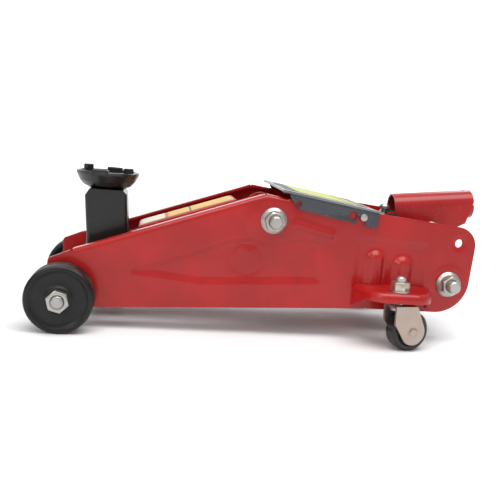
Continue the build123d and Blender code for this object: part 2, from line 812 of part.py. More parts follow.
with BuildPart() as pump_casting:
    with BuildSketch(Plane.XY.offset(casting_bottom)):
        with Locations(((casting_front_x + casting_rear_x) / 2, 0)):
            RectangleRounded(casting_rear_x - casting_front_x, 2 * casting_side_y, 5.0)
    extrude(amount=casting_top - casting_bottom)
    with BuildSketch(Plane.XZ.offset(-plate_inner_y)):
        with Locations((rear_bolt_x, rear_bolt_z)):
            Circle(trunnion_radius)
    extrude(amount=2 * plate_inner_y)
    with BuildSketch(Plane.XZ.offset(-lug_side_y)):
        with Locations((socket_pin_x, socket_pin_height)):
            Circle(pivot_lug_radius)
        with Locations((socket_pin_x, (casting_top - 4 + socket_pin_height) / 2)):
            Rectangle(2 * pivot_lug_radius, socket_pin_height - casting_top + 4)
    extrude(amount=2 * lug_side_y)
    with BuildSketch(Plane.XZ.offset(-plate_inner_y)):
        with Locations((rear_bolt_x, rear_bolt_z)):
            Circle(bolt_radius)
    extrude(amount=plate_inner_y - rear_bolt_inner_y, mode=Mode.SUBTRACT)
    with BuildSketch(Plane.XZ.offset(plate_inner_y)):
        with Locations((rear_bolt_x, rear_bolt_z)):
            Circle(bolt_radius)
    extrude(amount=rear_bolt_inner_y - plate_inner_y, mode=Mode.SUBTRACT)
    with BuildSketch(Plane.XZ.offset(-lug_side_y)):
        with Locations((socket_pin_x, socket_pin_height)):
            Circle(socket_pin_radius)
    extrude(amount=2 * lug_side_y, mode=Mode.SUBTRACT)
    with BuildSketch(Plane.YZ.offset(casting_front_x)):
        with Locations((0, ram_z)):
            Circle(cylinder_radius)
    extrude(amount=cylinder_rear_x - casting_front_x, mode=Mode.SUBTRACT)
    with BuildSketch(Plane.XY.offset(barrel_bottom)):
        with Locations((plunger_x, 0)):
            Circle(barrel_radius)
    extrude(amount=casting_top - barrel_bottom, mode=Mode.SUBTRACT)
    with BuildSketch(Plane.YZ.offset(valve_bore_x)):
        with Locations((0, valve_z)):
            Circle(valve_radius + running_clearance)
    extrude(amount=casting_rear_x - valve_bore_x, mode=Mode.SUBTRACT)
    with BuildSketch(Plane.XZ.offset(casting_side_y - 6.0)):
        with Locations((relief_x, relief_z)):
            Circle(relief_radius)
    extrude(amount=6.0, mode=Mode.SUBTRACT)
    with BuildSketch(Plane.XY.offset(socket_pin_height + socket_pin_radius + 1.0)):
        with Locations((cap_plug_x, 0)):
            Circle(3.0)
    extrude(amount=pivot_lug_radius, mode=Mode.SUBTRACT)
pump_casting.part.label = "pump_casting"
export_step(pump_casting.part, "parts/pump_casting.step")

filler_x = (cap_front_x + casting_front_x) / 2
filler_radius = 5.0
with BuildPart() as reservoir_tube:
    turn_about_x(
        (
            (cap_front_x + cap_thickness, reservoir_radius - 2.5),
            (casting_front_x, reservoir_radius - 2.5),
            (casting_front_x, reservoir_radius),
            (cap_front_x + cap_thickness, reservoir_radius),
        ),
        0,
        ram_z,
    )
    with BuildSketch(Plane.XY.offset(ram_z)):
        with Locations((filler_x, 0)):
            Circle(filler_radius)
    extrude(amount=reservoir_radius, mode=Mode.SUBTRACT)
reservoir_tube.part.label = "reservoir_tube"
export_step(reservoir_tube.part, "parts/reservoir_tube.step")

with BuildPart() as reservoir_cap:
    turn_about_x(
        (
            (cap_front_x, cylinder_radius),
            (cap_front_x + cap_thickness, cylinder_radius),
            (cap_front_x + cap_thickness, reservoir_radius),
            (cap_front_x + 1.5, reservoir_radius),
            (cap_front_x, reservoir_radius - 1.5),
        ),
        0,
        ram_z,
    )
reservoir_cap.part.label = "reservoir_cap"
export_step(reservoir_cap.part, "parts/reservoir_cap.step")

with BuildPart() as ram_cylinder:
    turn_about_x(
        (
            (cap_front_x, cylinder_bore),
            (cylinder_rear_x, cylinder_bore),
            (cylinder_rear_x, cylinder_radius),
            (cap_front_x, cylinder_radius),
        ),
        0,
        ram_z,
    )
ram_cylinder.part.label = "ram_cylinder"
export_step(ram_cylinder.part, "parts/ram_cylinder.step")

gland_length = 8.0
with BuildPart() as gland_nut:
    turn_about_x(
        (
            (cap_front_x - 5.0, ram_radius + running_clearance),
            (cap_front_x + gland_length, ram_radius + running_clearance),
            (cap_front_x + gland_length, cylinder_bore),
            (cap_front_x, cylinder_bore),
            (cap_front_x, cylinder_radius + 3.0),
            (cap_front_x - 5.0, cylinder_radius + 3.0),
        ),
        0,
        ram_z,
    )
gland_nut.part.label = "gland_nut"
export_step(gland_nut.part, "parts/gland_nut.step")

with BuildPart() as filler_plug:
    turn_about_z(
        (
            (0, ram_z + reservoir_radius - 3.0),
            (filler_radius, ram_z + reservoir_radius - 3.0),
            (filler_radius, ram_z + reservoir_radius + 0.1),
            (filler_radius + 1.8, ram_z + reservoir_radius + 0.1),
            (filler_radius + 1.2, ram_z + reservoir_radius + 3.0),
            (0, ram_z + reservoir_radius + 3.4),
        ),
        filler_x,
        0,
    )
filler_plug.part.label = "filler_plug"
export_step(filler_plug.part, "parts/filler_plug.step")

with BuildPart() as relief_plug:
    with BuildSketch(Plane.XZ.offset(casting_side_y - 6.0)):
        with Locations((relief_x, relief_z)):
            Circle(relief_radius)
    extrude(amount=6.0)
    with BuildSketch(Plane.XZ.offset(casting_side_y)):
        with Locations((relief_x, relief_z)):
            RegularPolygon(relief_radius + 1.5, 6, major_radius=False)
    extrude(amount=4.0)
relief_plug.part.label = "relief_plug"
export_step(relief_plug.part, "parts/relief_plug.step")

with BuildPart() as valve_cap:
    lug_top = socket_pin_height + pivot_lug_radius
    turn_about_z(
        (
            (0, socket_pin_height + socket_pin_radius + 1.0),
            (3.0, socket_pin_height + socket_pin_radius + 1.0),
            (3.0, lug_top + 0.1),
            (5.6, lug_top + 0.1),
            (5.6, lug_top + 3.0),
            (4.2, lug_top + 4.8),
            (0, lug_top + 5.6),
        ),
        cap_plug_x,
        0,
    )
valve_cap.part.label = "valve_cap"
export_step(valve_cap.part, "parts/valve_cap.step")

with BuildPart() as release_valve:
    turn_about_x(
        (
            (valve_bore_x, 0),
            (casting_rear_x + 3.0, 0),
            (casting_rear_x + 14.0, 0),
            (casting_rear_x + 14.0, 5.5),
            (casting_rear_x + 13.0, 6.5),
            (casting_rear_x + 4.0, 6.5),
            (casting_rear_x + 3.0, valve_radius),
            (valve_bore_x, valve_radius),
        ),
        0,
        valve_z,
    )
    with BuildSketch(Plane.XY.offset(valve_z - 10.0)):
        with Locations((casting_rear_x + 9.0, 0)):
            Circle(2.0)
    extrude(amount=20.0, mode=Mode.SUBTRACT)
release_valve.part.label = "release_valve"
export_step(release_valve.part, "parts/release_valve.step")

with BuildPart() as spring_anchors:
    turn_about_y(
        (
            (0, casting_side_y),
            (spring_anchor_radius, casting_side_y),
            (spring_anchor_radius, spring_y + 3.0),
            (spring_anchor_radius + 1.5, spring_y + 3.0),
            (spring_anchor_radius + 1.5, spring_y + 4.5),
            (0, spring_y + 4.5),
        ),
        spring_anchor_x,
        ram_z,
    )
    mirrored(spring_anchors.part)
spring_anchors.part.label = "spring_anchors"
export_step(spring_anchors.part, "parts/spring_anchors.step")

# ---------------------------------------------------------------- ram
crosshead_half = 11.0
piston_rear_x = cylinder_rear_x - 2.0
piston_length = 12.0
seal_groove = 2.0
with BuildPart() as ram:
    turn_about_x(
        (
            (crosshead_x + crosshead_half - 4.0, 0),
            (crosshead_x + crosshead_half - 4.0, ram_radius),
            (piston_rear_x - piston_length, ram_radius),
            (piston_rear_x - piston_length, cylinder_bore - running_clearance),
            (piston_rear_x - 8.0, cylinder_bore - running_clearance),
            (piston_rear_x - 8.0, cylinder_bore - seal_groove),
            (piston_rear_x - 4.0, cylinder_bore - seal_groove),
            (piston_rear_x - 4.0, cylinder_bore - running_clearance),
            (piston_rear_x, cylinder_bore - running_clearance),
            (piston_rear_x, 0),
        ),
        0,
        ram_z,
    )
ram.part.label = "ram"
export_step(ram.part, "parts/ram.step")

with BuildPart() as ram_crosshead:
    with BuildSketch(Plane.XZ.offset(side_clearance - lug_inner_y)):
        with Locations((crosshead_x, ram_z)):
            RectangleRounded(2 * crosshead_half, 24.0, 3.0)
            Circle(crosshead_pin_radius, mode=Mode.SUBTRACT)
    extrude(amount=2 * (lug_inner_y - side_clearance))
    with BuildSketch(Plane.YZ.offset(crosshead_x + crosshead_half - 4.0)):
        with Locations((0, ram_z)):
            Circle(ram_radius)
    extrude(amount=10.0, mode=Mode.SUBTRACT)
ram_crosshead.part.label = "ram_crosshead"
export_step(ram_crosshead.part, "parts/ram_crosshead.step")

with BuildPart() as crosshead_pin:
    with BuildSketch(Plane.XZ.offset(-spring_y - 4.0)):
        with Locations((crosshead_x, ram_z)):
            Circle(crosshead_pin_radius)
    extrude(amount=2 * (spring_y + 4.0))
    chamfer(edges().filter_by(GeomType.CIRCLE), 0.8)
crosshead_pin.part.label = "crosshead_pin"
export_step(crosshead_pin.part, "parts/crosshead_pin.step")

spring_front_x = crosshead_x + crosshead_pin_radius + 2.0
spring_rear_x = spring_anchor_x - spring_anchor_radius - 2.0
with BuildPart() as return_springs:
    turn_about_x(
        (
            (spring_front_x, 3.4),
            (spring_rear_x, 3.4),
            (spring_rear_x, 5.0),
            (spring_front_x, 5.0),
        ),
        spring_y,
        ram_z,
    )
    mirrored(return_springs.part)
return_springs.part.label = "return_springs"
export_step(return_springs.part, "parts/return_springs.step")

# ---------------------------------------------------------------- pump
roller_radius = 6.0
roller_z = socket_pin_height - roller_below_pin
collar_top = roller_z - roller_radius - side_clearance
collar_thickness = 3.2
with BuildPart() as pump_barrel:
    turn_about_z(
        (
            (plunger_radius + running_clearance, barrel_bottom),
            (barrel_radius, barrel_bottom),
            (barrel_radius, casting_top),
            (barrel_radius + 2.0, casting_top),
            (barrel_radius + 2.0, barrel_top),
            (plunger_radius + running_clearance, barrel_top),
        ),
        plunger_x,
        0,
    )
pump_barrel.part.label = "pump_barrel"
export_step(pump_barrel.part, "parts/pump_barrel.step")

with BuildPart() as pump_plunger:
    turn_about_z(
        (
            (0, barrel_bottom + 2.0),
            (plunger_radius, barrel_bottom + 2.0),
            (plunger_radius, collar_top - 1.0),
            (plunger_radius - 1.0, collar_top),
            (0, collar_top),
        ),
        plunger_x,
        0,
    )
pump_plunger.part.label = "pump_plunger"
export_step(pump_plunger.part, "parts/pump_plunger.step")

with BuildPart() as spring_collar:
    turn_about_z(
        (
            (plunger_radius, collar_top - 1.0 - collar_thickness),
            (plunger_radius + 4.2, collar_top - 1.0 - collar_thickness),
            (plunger_radius + 4.2, collar_top - 1.0),
            (plunger_radius, collar_top - 1.0),
        ),
        plunger_x,
        0,
    )
spring_collar.part.label = "spring_collar"
export_step(spring_collar.part, "parts/spring_collar.step")

with BuildPart() as plunger_spring:
    turn_about_z(
        (
            (plunger_radius + 1.2, barrel_top + 0.1),
            (plunger_radius + 3.4, barrel_top + 0.1),
            (plunger_radius + 3.4, collar_top - 1.1 - collar_thickness),
            (plunger_radius + 1.2, collar_top - 1.1 - collar_thickness),
        ),
        plunger_x,
        0,
    )
plunger_spring.part.label = "plunger_spring"
export_step(plunger_spring.part, "parts/plunger_spring.step")

# ---------------------------------------------------------------- handle socket
# A folded sleeve for the handle, on two cheeks that straddle the casting.
socket_bore = handle_radius + handle_clearance
socket_outer = socket_bore + socket_wall
sleeve_front_x = socket_pin_x + 1.5
sleeve_front_z = socket_pin_height + 12.3
slope = radians(socket_slope)
sleeve_length = (rear_end_x - sleeve_front_x - socket_outer * sin(slope)) / cos(slope)
cheek_inner_y = socket_bore
cheek_outer_y = socket_outer
open_length = plunger_from_socket_pin - 12.0  # sleeve with no floor, over the casting's lug
rear_axis_z = sleeve_front_z + sleeve_length * sin(slope)
leg_length = 60.0
ear_reach = 20.0
hood_relief = 0.75
sleeve_plane = Plane(
    origin=(sleeve_front_x, 0, sleeve_front_z),
    x_dir=(0, 1, 0),
    z_dir=(cos(slope), 0, sin(slope)),
)
with BuildPart() as handle_socket:
    with BuildSketch(sleeve_plane.offset(-ear_reach)):
        Circle(socket_outer)
        Rectangle(2 * socket_outer, leg_length, align=(Align.CENTER, Align.MAX))
        Circle(socket_bore, mode=Mode.SUBTRACT)
        Rectangle(2 * socket_bore, leg_length, align=(Align.CENTER, Align.MAX), mode=Mode.SUBTRACT)
    extrude(amount=ear_reach + sleeve_length)
    with BuildSketch(Plane.XZ.offset(-2 * socket_outer)):
        with BuildLine():
            Polyline(
                (socket_pin_x, socket_pin_height - 10.0),
                (plunger_x, roller_z - 8.0),
                (plunger_x + 9.0, roller_z - 7.0),
                (rear_end_x - 9.5, socket_pin_height + 2.0),
                (rear_end_x - 3.5, rear_axis_z - 2.0),
                (rear_end_x + 5.0, rear_axis_z + 40.0),
                (sleeve_front_x - 2.0, sleeve_front_z + 40.0),
                (sleeve_front_x, socket_pin_height + 10.0),
                (socket_pin_x, socket_pin_height + 10.0),
                close=True,
            )
        make_face()
        with Locations((socket_pin_x, socket_pin_height)):
            Circle(10.0)
    extrude(amount=4 * socket_outer, mode=Mode.INTERSECT)
    # the sleeve's floor, behind the casting's lug
    with BuildSketch(sleeve_plane.offset(open_length)):
        Circle(socket_outer)
        Circle(socket_bore, mode=Mode.SUBTRACT)
        Rectangle(4 * socket_outer, socket_outer, align=(Align.CENTER, Align.MIN), mode=Mode.SUBTRACT)
    extrude(amount=sleeve_length - open_length)
    # the open hood ahead of the floor is a little wider, so that the handle's bore ends at the floor
    with BuildSketch(sleeve_plane.offset(-ear_reach)):
        Circle(socket_bore + hood_relief)
    extrude(amount=ear_reach + open_length, mode=Mode.SUBTRACT)
    with BuildSketch(Plane.XZ.offset(-cheek_outer_y)):
        with Locations((socket_pin_x, socket_pin_height)):
            Circle(socket_pin_radius + running_clearance)
        with Locations((plunger_x, roller_z)):
            Circle(3.5)
    extrude(amount=2 * cheek_outer_y, mode=Mode.SUBTRACT)
    with BuildSketch(Plane.XY.offset(rear_axis_z)):
        with Locations((rear_end_x - 11.5, 0)):
            Circle(3.2)
    extrude(amount=2 * socket_outer, mode=Mode.SUBTRACT)
handle_socket.part.label = "handle_socket"
export_step(handle_socket.part, "parts/handle_socket.step")

socket_pin_end_y = cheek_outer_y + 3.2
with BuildPart() as socket_pin:
    with BuildSketch(Plane.XZ.offset(-socket_pin_end_y)):
        with Locations((socket_pin_x, socket_pin_height)):
            Circle(socket_pin_radius)
    extrude(amount=2 * socket_pin_end_y)
    chamfer(edges().filter_by(GeomType.CIRCLE), 0.7)
socket_pin.part.label = "socket_pin"
export_step(socket_pin.part, "parts/socket_pin.step")

with BuildPart() as socket_pin_clips:
    turn_about_y(
        (
            (socket_pin_radius, cheek_outer_y + side_clearance),
            (socket_pin_radius + 2.6, cheek_outer_y + side_clearance),
            (socket_pin_radius + 2.6, cheek_outer_y + side_clearance + 1.2),
            (socket_pin_radius, cheek_outer_y + side_clearance + 1.2),
        ),
        socket_pin_x,
        socket_pin_height,
    )
    mirrored(socket_pin_clips.part)
socket_pin_clips.part.label = "socket_pin_clips"
export_step(socket_pin_clips.part, "parts/socket_pin_clips.step")

roller_pin_radius = 3.5
with BuildPart() as pump_roller:
    turn_about_y(
        (
            (roller_pin_radius, side_clearance - cheek_inner_y),
            (roller_radius, side_clearance - cheek_inner_y),
            (roller_radius, cheek_inner_y - side_clearance),
            (roller_pin_radius, cheek_inner_y - side_clearance),
        ),
        plunger_x,
        roller_z,
    )
pump_roller.part.label = "pump_roller"
export_step(pump_roller.part, "parts/pump_roller.step")

with BuildPart() as roller_pin:
    turn_about_y(
        (
            (0, -cheek_outer_y - 2.6),
            (5.5, -cheek_outer_y - 2.6),
            (7.4, -cheek_outer_y - 1.4),
            (7.4, -cheek_outer_y),
            (roller_pin_radius, -cheek_outer_y),
            (roller_pin_radius, cheek_outer_y),
            (7.4, cheek_outer_y),
            (7.4, cheek_outer_y + 1.4),
            (5.5, cheek_outer_y + 2.6),
            (0, cheek_outer_y + 2.6),
        ),
        plunger_x,
        roller_z,
    )
roller_pin.part.label = "roller_pin"
export_step(roller_pin.part, "parts/roller_pin.step")

# ---------------------------------------------------------------- rear casters
fork_sheet = 2.5
fork_inner = caster_wheel_width / 2 + 1.3
fork_outer = fork_inner + fork_sheet
crown_top = shelf_top - shelf_depth - 2.8
crown_bottom = crown_top - fork_sheet
king_head_top = crown_bottom - 0.2
king_head_bottom = king_head_top - 2.8
ball_radius = 1.5
ball_ring_radius = 7.8
race_radius = 9.6
ball_count = 8
race_bottom = crown_top + side_clearance + 2 * ball_radius
shelf_underside = shelf_top - shelf_wall
caster_axle_radius = 3.0
fork_boss_radius = 13.0

for side, side_name in ((-1, "left"), (1, "right")):
    turn = radians(caster_rest_turn) * -side
    along = (cos(turn), sin(turn), 0)
    across = (sin(turn), -cos(turn), 0)
    king_point = (king_bolt_x, side * king_bolt_y, 0)
    fork_plane = Plane(origin=king_point, x_dir=along, z_dir=across)
    flat_plane = Plane(origin=king_point, x_dir=along, z_dir=(0, 0, 1))
    wheel_centre = flat_plane.from_local_coords(Vector(caster_trail, 0, caster_wheel_radius))
    wheel_axis = Axis(wheel_centre, across)

    with BuildPart() as caster_fork:
        with BuildSketch(fork_plane.offset(-fork_outer)):
            with Locations((caster_trail, caster_wheel_radius)):
                Circle(fork_boss_radius)
            with Locations((3.5, crown_top - 2.0)):
                Rectangle(24.0, 4.0)
            with Locations((-3.0, caster_wheel_radius + 12.0)):
                Rectangle(10.0, 8.0)
            make_hull()
        extrude(amount=2 * fork_outer)
        with BuildSketch(fork_plane.offset(-fork_inner)):
            with Locations((caster_trail, crown_bottom - 40.0)):
                Rectangle(80.0, 80.0)
        extrude(amount=2 * fork_inner, mode=Mode.SUBTRACT)
        with BuildSketch(fork_plane.offset(-fork_outer)):
            with Locations((caster_trail, caster_wheel_radius)):
                Circle(caster_axle_radius)
        extrude(amount=2 * fork_outer, mode=Mode.SUBTRACT)
        with BuildSketch(flat_plane.offset(crown_bottom)):
            Circle(king_bolt_radius + running_clearance)
        extrude(amount=fork_sheet, mode=Mode.SUBTRACT)
    caster_fork.part.label = f"caster_fork_{side_name}"
    export_step(caster_fork.part, f"parts/caster_fork_{side_name}.step")

    half = caster_wheel_width / 2
    tread = 2.0
    caster_profile = (
        (caster_axle_radius + running_clearance, -half - 0.8),
        (7.0, -half - 0.8),
        (8.0, -half + 1.5),
        (14.0, -half + 1.5),
        (15.0, -half),
        (caster_wheel_radius - tread, -half),
        (caster_wheel_radius, -half + tread),
        (caster_wheel_radius, half - tread),
        (caster_wheel_radius - tread, half),
        (15.0, half),
        (14.0, half - 1.5),
        (8.0, half - 1.5),
        (7.0, half + 0.8),
        (caster_axle_radius + running_clearance, half + 0.8),
    )
    wheel_section = Plane(origin=wheel_centre, x_dir=along, z_dir=(0, 0, 1))
    with BuildPart() as caster_wheel:
        with BuildSketch(wheel_section):
            with BuildLine():
                Polyline(caster_profile, close=True)
            make_face()
        revolve(axis=wheel_axis)
    caster_wheel.part.label = f"caster_wheel_{side_name}"
    export_step(caster_wheel.part, f"parts/caster_wheel_{side_name}.step")

    rivet_profile = (
        (0, -fork_outer - 1.6),
        (3.0, -fork_outer - 1.6),
        (4.7, -fork_outer - 0.6),
        (4.7, -fork_outer),
        (caster_axle_radius, -fork_outer),
        (caster_axle_radius, fork_outer),
        (4.7, fork_outer),
        (4.7, fork_outer + 0.6),
        (3.0, fork_outer + 1.6),
        (0, fork_outer + 1.6),
    )
    with BuildPart() as caster_axle:
        with BuildSketch(wheel_section):
            with BuildLine():
                Polyline(rivet_profile, close=True)
            make_face()
        revolve(axis=wheel_axis)
    caster_axle.part.label = f"caster_axle_{side_name}"
    export_step(caster_axle.part, f"parts/caster_axle_{side_name}.step")

stud_top = shelf_top + 15.0
washer_thickness = 1.5
king_nut_height = 8.4
with BuildPart() as king_bolts:
    turn_about_z(
        (
            (0, king_head_bottom),
            (7.6, king_head_bottom),
            (7.6, king_head_top),
            (king_bolt_radius, king_head_top),
            (king_bolt_radius, stud_top - 1.5),
            (king_bolt_radius - 1.5, stud_top),
            (0, stud_top),
        ),
        king_bolt_x,
        king_bolt_y,
    )
    mirrored(king_bolts.part)
king_bolts.part.label = "king_bolts"
export_step(king_bolts.part, "parts/king_bolts.step")

with BuildPart() as king_washers:
    turn_about_z(
        (
            (king_bolt_radius + 0.02, shelf_top),
            (9.6, shelf_top),
            (9.6, shelf_top + washer_thickness),
            (king_bolt_radius + 0.02, shelf_top + washer_thickness),
        ),
        king_bolt_x,
        king_bolt_y,
    )
    mirrored(king_washers.part)
king_washers.part.label = "king_washers"
export_step(king_washers.part, "parts/king_washers.step")

with BuildPart() as king_nuts:
    with BuildSketch(Plane.XY.offset(shelf_top + washer_thickness)):
        with Locations((king_bolt_x, king_bolt_y), (king_bolt_x, -king_bolt_y)):
            RegularPolygon(8.0, 6, major_radius=False)
            Circle(king_bolt_radius + 0.02, mode=Mode.SUBTRACT)
    extrude(amount=king_nut_height)
king_nuts.part.label = "king_nuts"
export_step(king_nuts.part, "parts/king_nuts.step")

with BuildPart() as caster_races:
    turn_about_z(
        (
            (king_bolt_radius + 0.02, race_bottom),
            (race_radius, race_bottom),
            (race_radius, shelf_underside),
            (king_bolt_radius + 0.02, shelf_underside),
        ),
        king_bolt_x,
        king_bolt_y,
    )
    mirrored(caster_races.part)
caster_races.part.label = "caster_races"
export_step(caster_races.part, "parts/caster_races.step")

with BuildPart() as caster_balls:
    for number in range(ball_count):
        around = 2 * pi * number / ball_count
        with Locations(
            (
                king_bolt_x + ball_ring_radius * cos(around),
                king_bolt_y + ball_ring_radius * sin(around),
                race_bottom - ball_radius,
            )
        ):
            Sphere(ball_radius)
    mirrored(caster_balls.part)
caster_balls.part.label = "caster_balls"
export_step(caster_balls.part, "parts/caster_balls.step")
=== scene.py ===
"""Looks of a low hydraulic trolley jack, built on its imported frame. Metres; +X to the handle, +Z up."""
from math import atan2, cos, pi, radians, sin

import bmesh
import bpy
import numpy as np
from mathutils import Matrix, Vector


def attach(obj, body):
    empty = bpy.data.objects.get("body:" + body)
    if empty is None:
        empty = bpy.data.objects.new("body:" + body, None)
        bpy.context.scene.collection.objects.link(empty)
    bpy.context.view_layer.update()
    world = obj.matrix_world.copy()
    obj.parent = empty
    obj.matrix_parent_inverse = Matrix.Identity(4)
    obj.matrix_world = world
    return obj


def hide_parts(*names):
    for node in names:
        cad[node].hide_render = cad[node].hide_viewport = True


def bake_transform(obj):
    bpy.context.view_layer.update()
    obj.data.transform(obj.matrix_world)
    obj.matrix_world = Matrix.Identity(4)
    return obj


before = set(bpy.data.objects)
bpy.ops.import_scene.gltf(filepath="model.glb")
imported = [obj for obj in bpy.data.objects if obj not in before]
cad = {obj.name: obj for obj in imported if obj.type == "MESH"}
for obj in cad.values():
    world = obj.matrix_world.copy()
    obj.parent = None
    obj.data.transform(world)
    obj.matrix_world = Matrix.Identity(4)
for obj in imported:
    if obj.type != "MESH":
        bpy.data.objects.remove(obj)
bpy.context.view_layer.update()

# ------------------------------------------------------------------ red enamel
# Sprayed gloss enamel over pressed steel. It lies a little unevenly and has fine orange peel. On the sharp
# edges it is scuffed, and the same edge mask also paints a light edge highlight into the colour.


class Value:
    """A shader output that takes part in plain arithmetic."""

    def __init__(self, finish, socket):
        self.finish = finish
        self.socket = socket

    def math(self, operation, first, second):
        return self.finish.node("ShaderNodeMath", {"operation": operation}, {0: first, 1: second})

    def __add__(self, other):
        return self.math("ADD", self, other)

    def __radd__(self, other):
        return self.math("ADD", other, self)

    def __sub__(self, other):
        return self.math("SUBTRACT", self, other)

    def __rsub__(self, other):
        return self.math("SUBTRACT", other, self)

    def __mul__(self, other):
        return self.math("MULTIPLY", self, other)

    def __rmul__(self, other):
        return self.math("MULTIPLY", other, self)

    def __gt__(self, other):
        return self.math("GREATER_THAN", self, other)


class Finish:
    """One node material, put together from Python expressions."""

    def __init__(self, name):
        self.material = bpy.data.materials.new(name)
        self.material.use_nodes = True
        self.tree = self.material.node_tree
        self.tree.nodes.clear()
        self.coordinates = self.node("ShaderNodeTexCoord", {}, {}, "Object")

    def node(self, kind, settings, inputs, output=0):
        made = self.tree.nodes.new(kind)
        for name, setting in settings.items():
            if name == "stops":
                ramp = made.color_ramp.elements
                while len(ramp) < len(setting):
                    ramp.new(0.5)
                for stop, (place, colour) in zip(ramp, setting):
                    stop.position = place
                    stop.color = colour
            else:
                setattr(made, name, setting)
        for name, value in inputs.items():
            socket = made.inputs[name]
            if isinstance(value, Value):
                self.tree.links.new(value.socket, socket)
            else:
                socket.default_value = value
        return Value(self, made.outputs[output])

    def vector(self, operation, first, second, output=0):
        return self.node("ShaderNodeVectorMath", {"operation": operation}, {0: first, 1: second}, output)

    def noise(self, scale, detail=2.0, roughness=0.5, stretch=None):
        place = self.coordinates
        if stretch:
            place = self.node("ShaderNodeMapping", {}, {"Vector": place, "Scale": stretch})
        inputs = {"Vector": place, "Scale": scale, "Detail": detail, "Roughness": roughness}
        return self.node("ShaderNodeTexNoise", {}, inputs)

    def cells(self, scale):
        return self.node("ShaderNodeTexVoronoi", {}, {"Vector": self.coordinates, "Scale": scale}, "Distance")

    def ramp(self, value, low, high, start=0.0, end=1.0):
        return self.node(
            "ShaderNodeMapRange",
            {"interpolation_type": "SMOOTHSTEP"},
            {"Value": value, "From Min": low, "From Max": high, "To Min": start, "To Max": end},
        )

    def blend(self, share, first, second):
        """A colour between two others; each is a colour tuple or another blend."""
        return self.node(
            "ShaderNodeMix", {"data_type": "RGBA"}, {"Factor": share, 6: first, 7: second}, 2
        )

    def facing_up(self):
        normal = self.node("ShaderNodeNewGeometry", {}, {}, "Normal")
        return self.node("ShaderNodeSeparateXYZ", {}, {"Vector": normal}, "Z")

    def edges(self, low=0.515, high=0.56):
        """Where the surface turns sharply outwards, on a finely divided mesh."""
        point = self.node("ShaderNodeNewGeometry", {}, {}, "Pointiness")
        return self.ramp(point, low, high)

    def close(self, height=None, distance=0.0001, strength=1.0, radius=0.0, **sockets):
        """Finish the material with one Principled surface; height is a bump in shares of distance."""
        inputs = {}
        for name, value in sockets.items():
            inputs[name.replace("_", " ").title().replace("Ior", "IOR")] = value
        rounded = None
        if radius:
            rounded = self.node("ShaderNodeBevel", {"samples": 4}, {"Radius": radius})
        if height is not None:
            bump = {"Height": height, "Distance": distance, "Strength": strength}
            if rounded:
                bump["Normal"] = rounded
            inputs["Normal"] = self.node("ShaderNodeBump", {}, bump)
        elif rounded:
            inputs["Normal"] = rounded
        surface = self.node("ShaderNodeBsdfPrincipled", {}, inputs)
        output = self.tree.nodes.new("ShaderNodeOutputMaterial")
        self.tree.links.new(surface.socket, output.inputs["Surface"])
        return self.material


def red_enamel(name, radius=0.0, edge_wear_and_highlight=0.35):
    finish = Finish(name)
    drift = finish.noise(14.0, 3.0)
    cloud = finish.noise(55.0, 4.0, 0.6)
    peel = finish.noise(900.0, 2.0)
    grain = finish.noise(2600.0, 2.0)
    shade = finish.ramp(drift * 0.7 + cloud * 0.3, 0.35, 0.68)
    colour = finish.blend(shade, (0.33, 0.0055, 0.0060, 1.0), (0.42, 0.0090, 0.0085, 1.0))
    dust = finish.ramp(finish.facing_up(), 0.55, 1.0) * finish.ramp(cloud, 0.45, 0.75) * 0.10
    colour = finish.blend(dust, colour, (0.42, 0.30, 0.26, 1.0))
    # Pale patches on the sharp edges: partly scuffed paint, partly a painted edge highlight.
    nick = finish.ramp(finish.noise(420.0, 3.0, 0.7), 0.62, 0.70)
    scuff_and_edge_highlight = finish.edges() * nick * edge_wear_and_highlight
    colour = finish.blend(scuff_and_edge_highlight, colour, (0.30, 0.20, 0.18, 1.0))
    return finish.close(
        base_color=colour,
        roughness=0.27 + cloud * 0.12 + scuff_and_edge_highlight * 0.3 + dust * 1.0,
        metallic=0.0,
        specular_ior_level=0.30,
        coat_weight=0.42 - cloud * 0.2,
        coat_roughness=0.08,
        height=peel * 0.8 + grain * 0.2,
        distance=0.00006,
        strength=0.5,
        radius=radius,
    )


red = red_enamel("red_enamel")
red_rounded = red_enamel("red_enamel_rounded", radius=0.0006)

# ------------------------------------------------------------------ side plates
# Each is one 3 mm steel pressing in red enamel, held by the pivot shaft and the axle. It has a shallow
# sunken panel, a raised seat for the arm pivot, a stiffening bar, two ribs over the caster, and a flange
# folded in along the front slope.
plate_outer = 0.066
plate_sheet = 0.003
plate_front, plate_rear = -0.212, 0.2135
plate_low, plate_high = 0.019, 0.1418
plate_pitch = 0.0016
pivot = Vector((0.0025, 0.0, 0.1163))
rear_bolt = Vector((0.188, 0.0, 0.0628))
bend_radius = 0.0042
flange_in = 0.0075
carry_hole = Vector((0.1951, 0.0, 0.1052))
carry_hole_radius = 0.0043
sunken_panel = (
    (-0.1315, 0.0590),
    (-0.0775, 0.0770),
    (-0.0345, 0.0948),
    (0.0245, 0.0948),
    (0.0375, 0.0998),
    (0.0515, 0.0958),
    (0.0515, 0.0587),
    (-0.0655, 0.0523),
)


def start_fresh():
    """Back to object mode with nothing selected."""
    if bpy.context.object and bpy.context.object.mode != "OBJECT":
        bpy.ops.object.mode_set(mode="OBJECT")
    bpy.ops.object.select_all(action="DESELECT")


def take(piece):
    """Make this piece the only one selected."""
    start_fresh()
    piece.select_set(True)
    bpy.context.view_layer.objects.active = piece
    return piece


def settle(piece):
    """Put a piece's place into its mesh."""
    take(piece)
    bpy.ops.object.transform_apply(location=True, rotation=True, scale=True)
    return piece


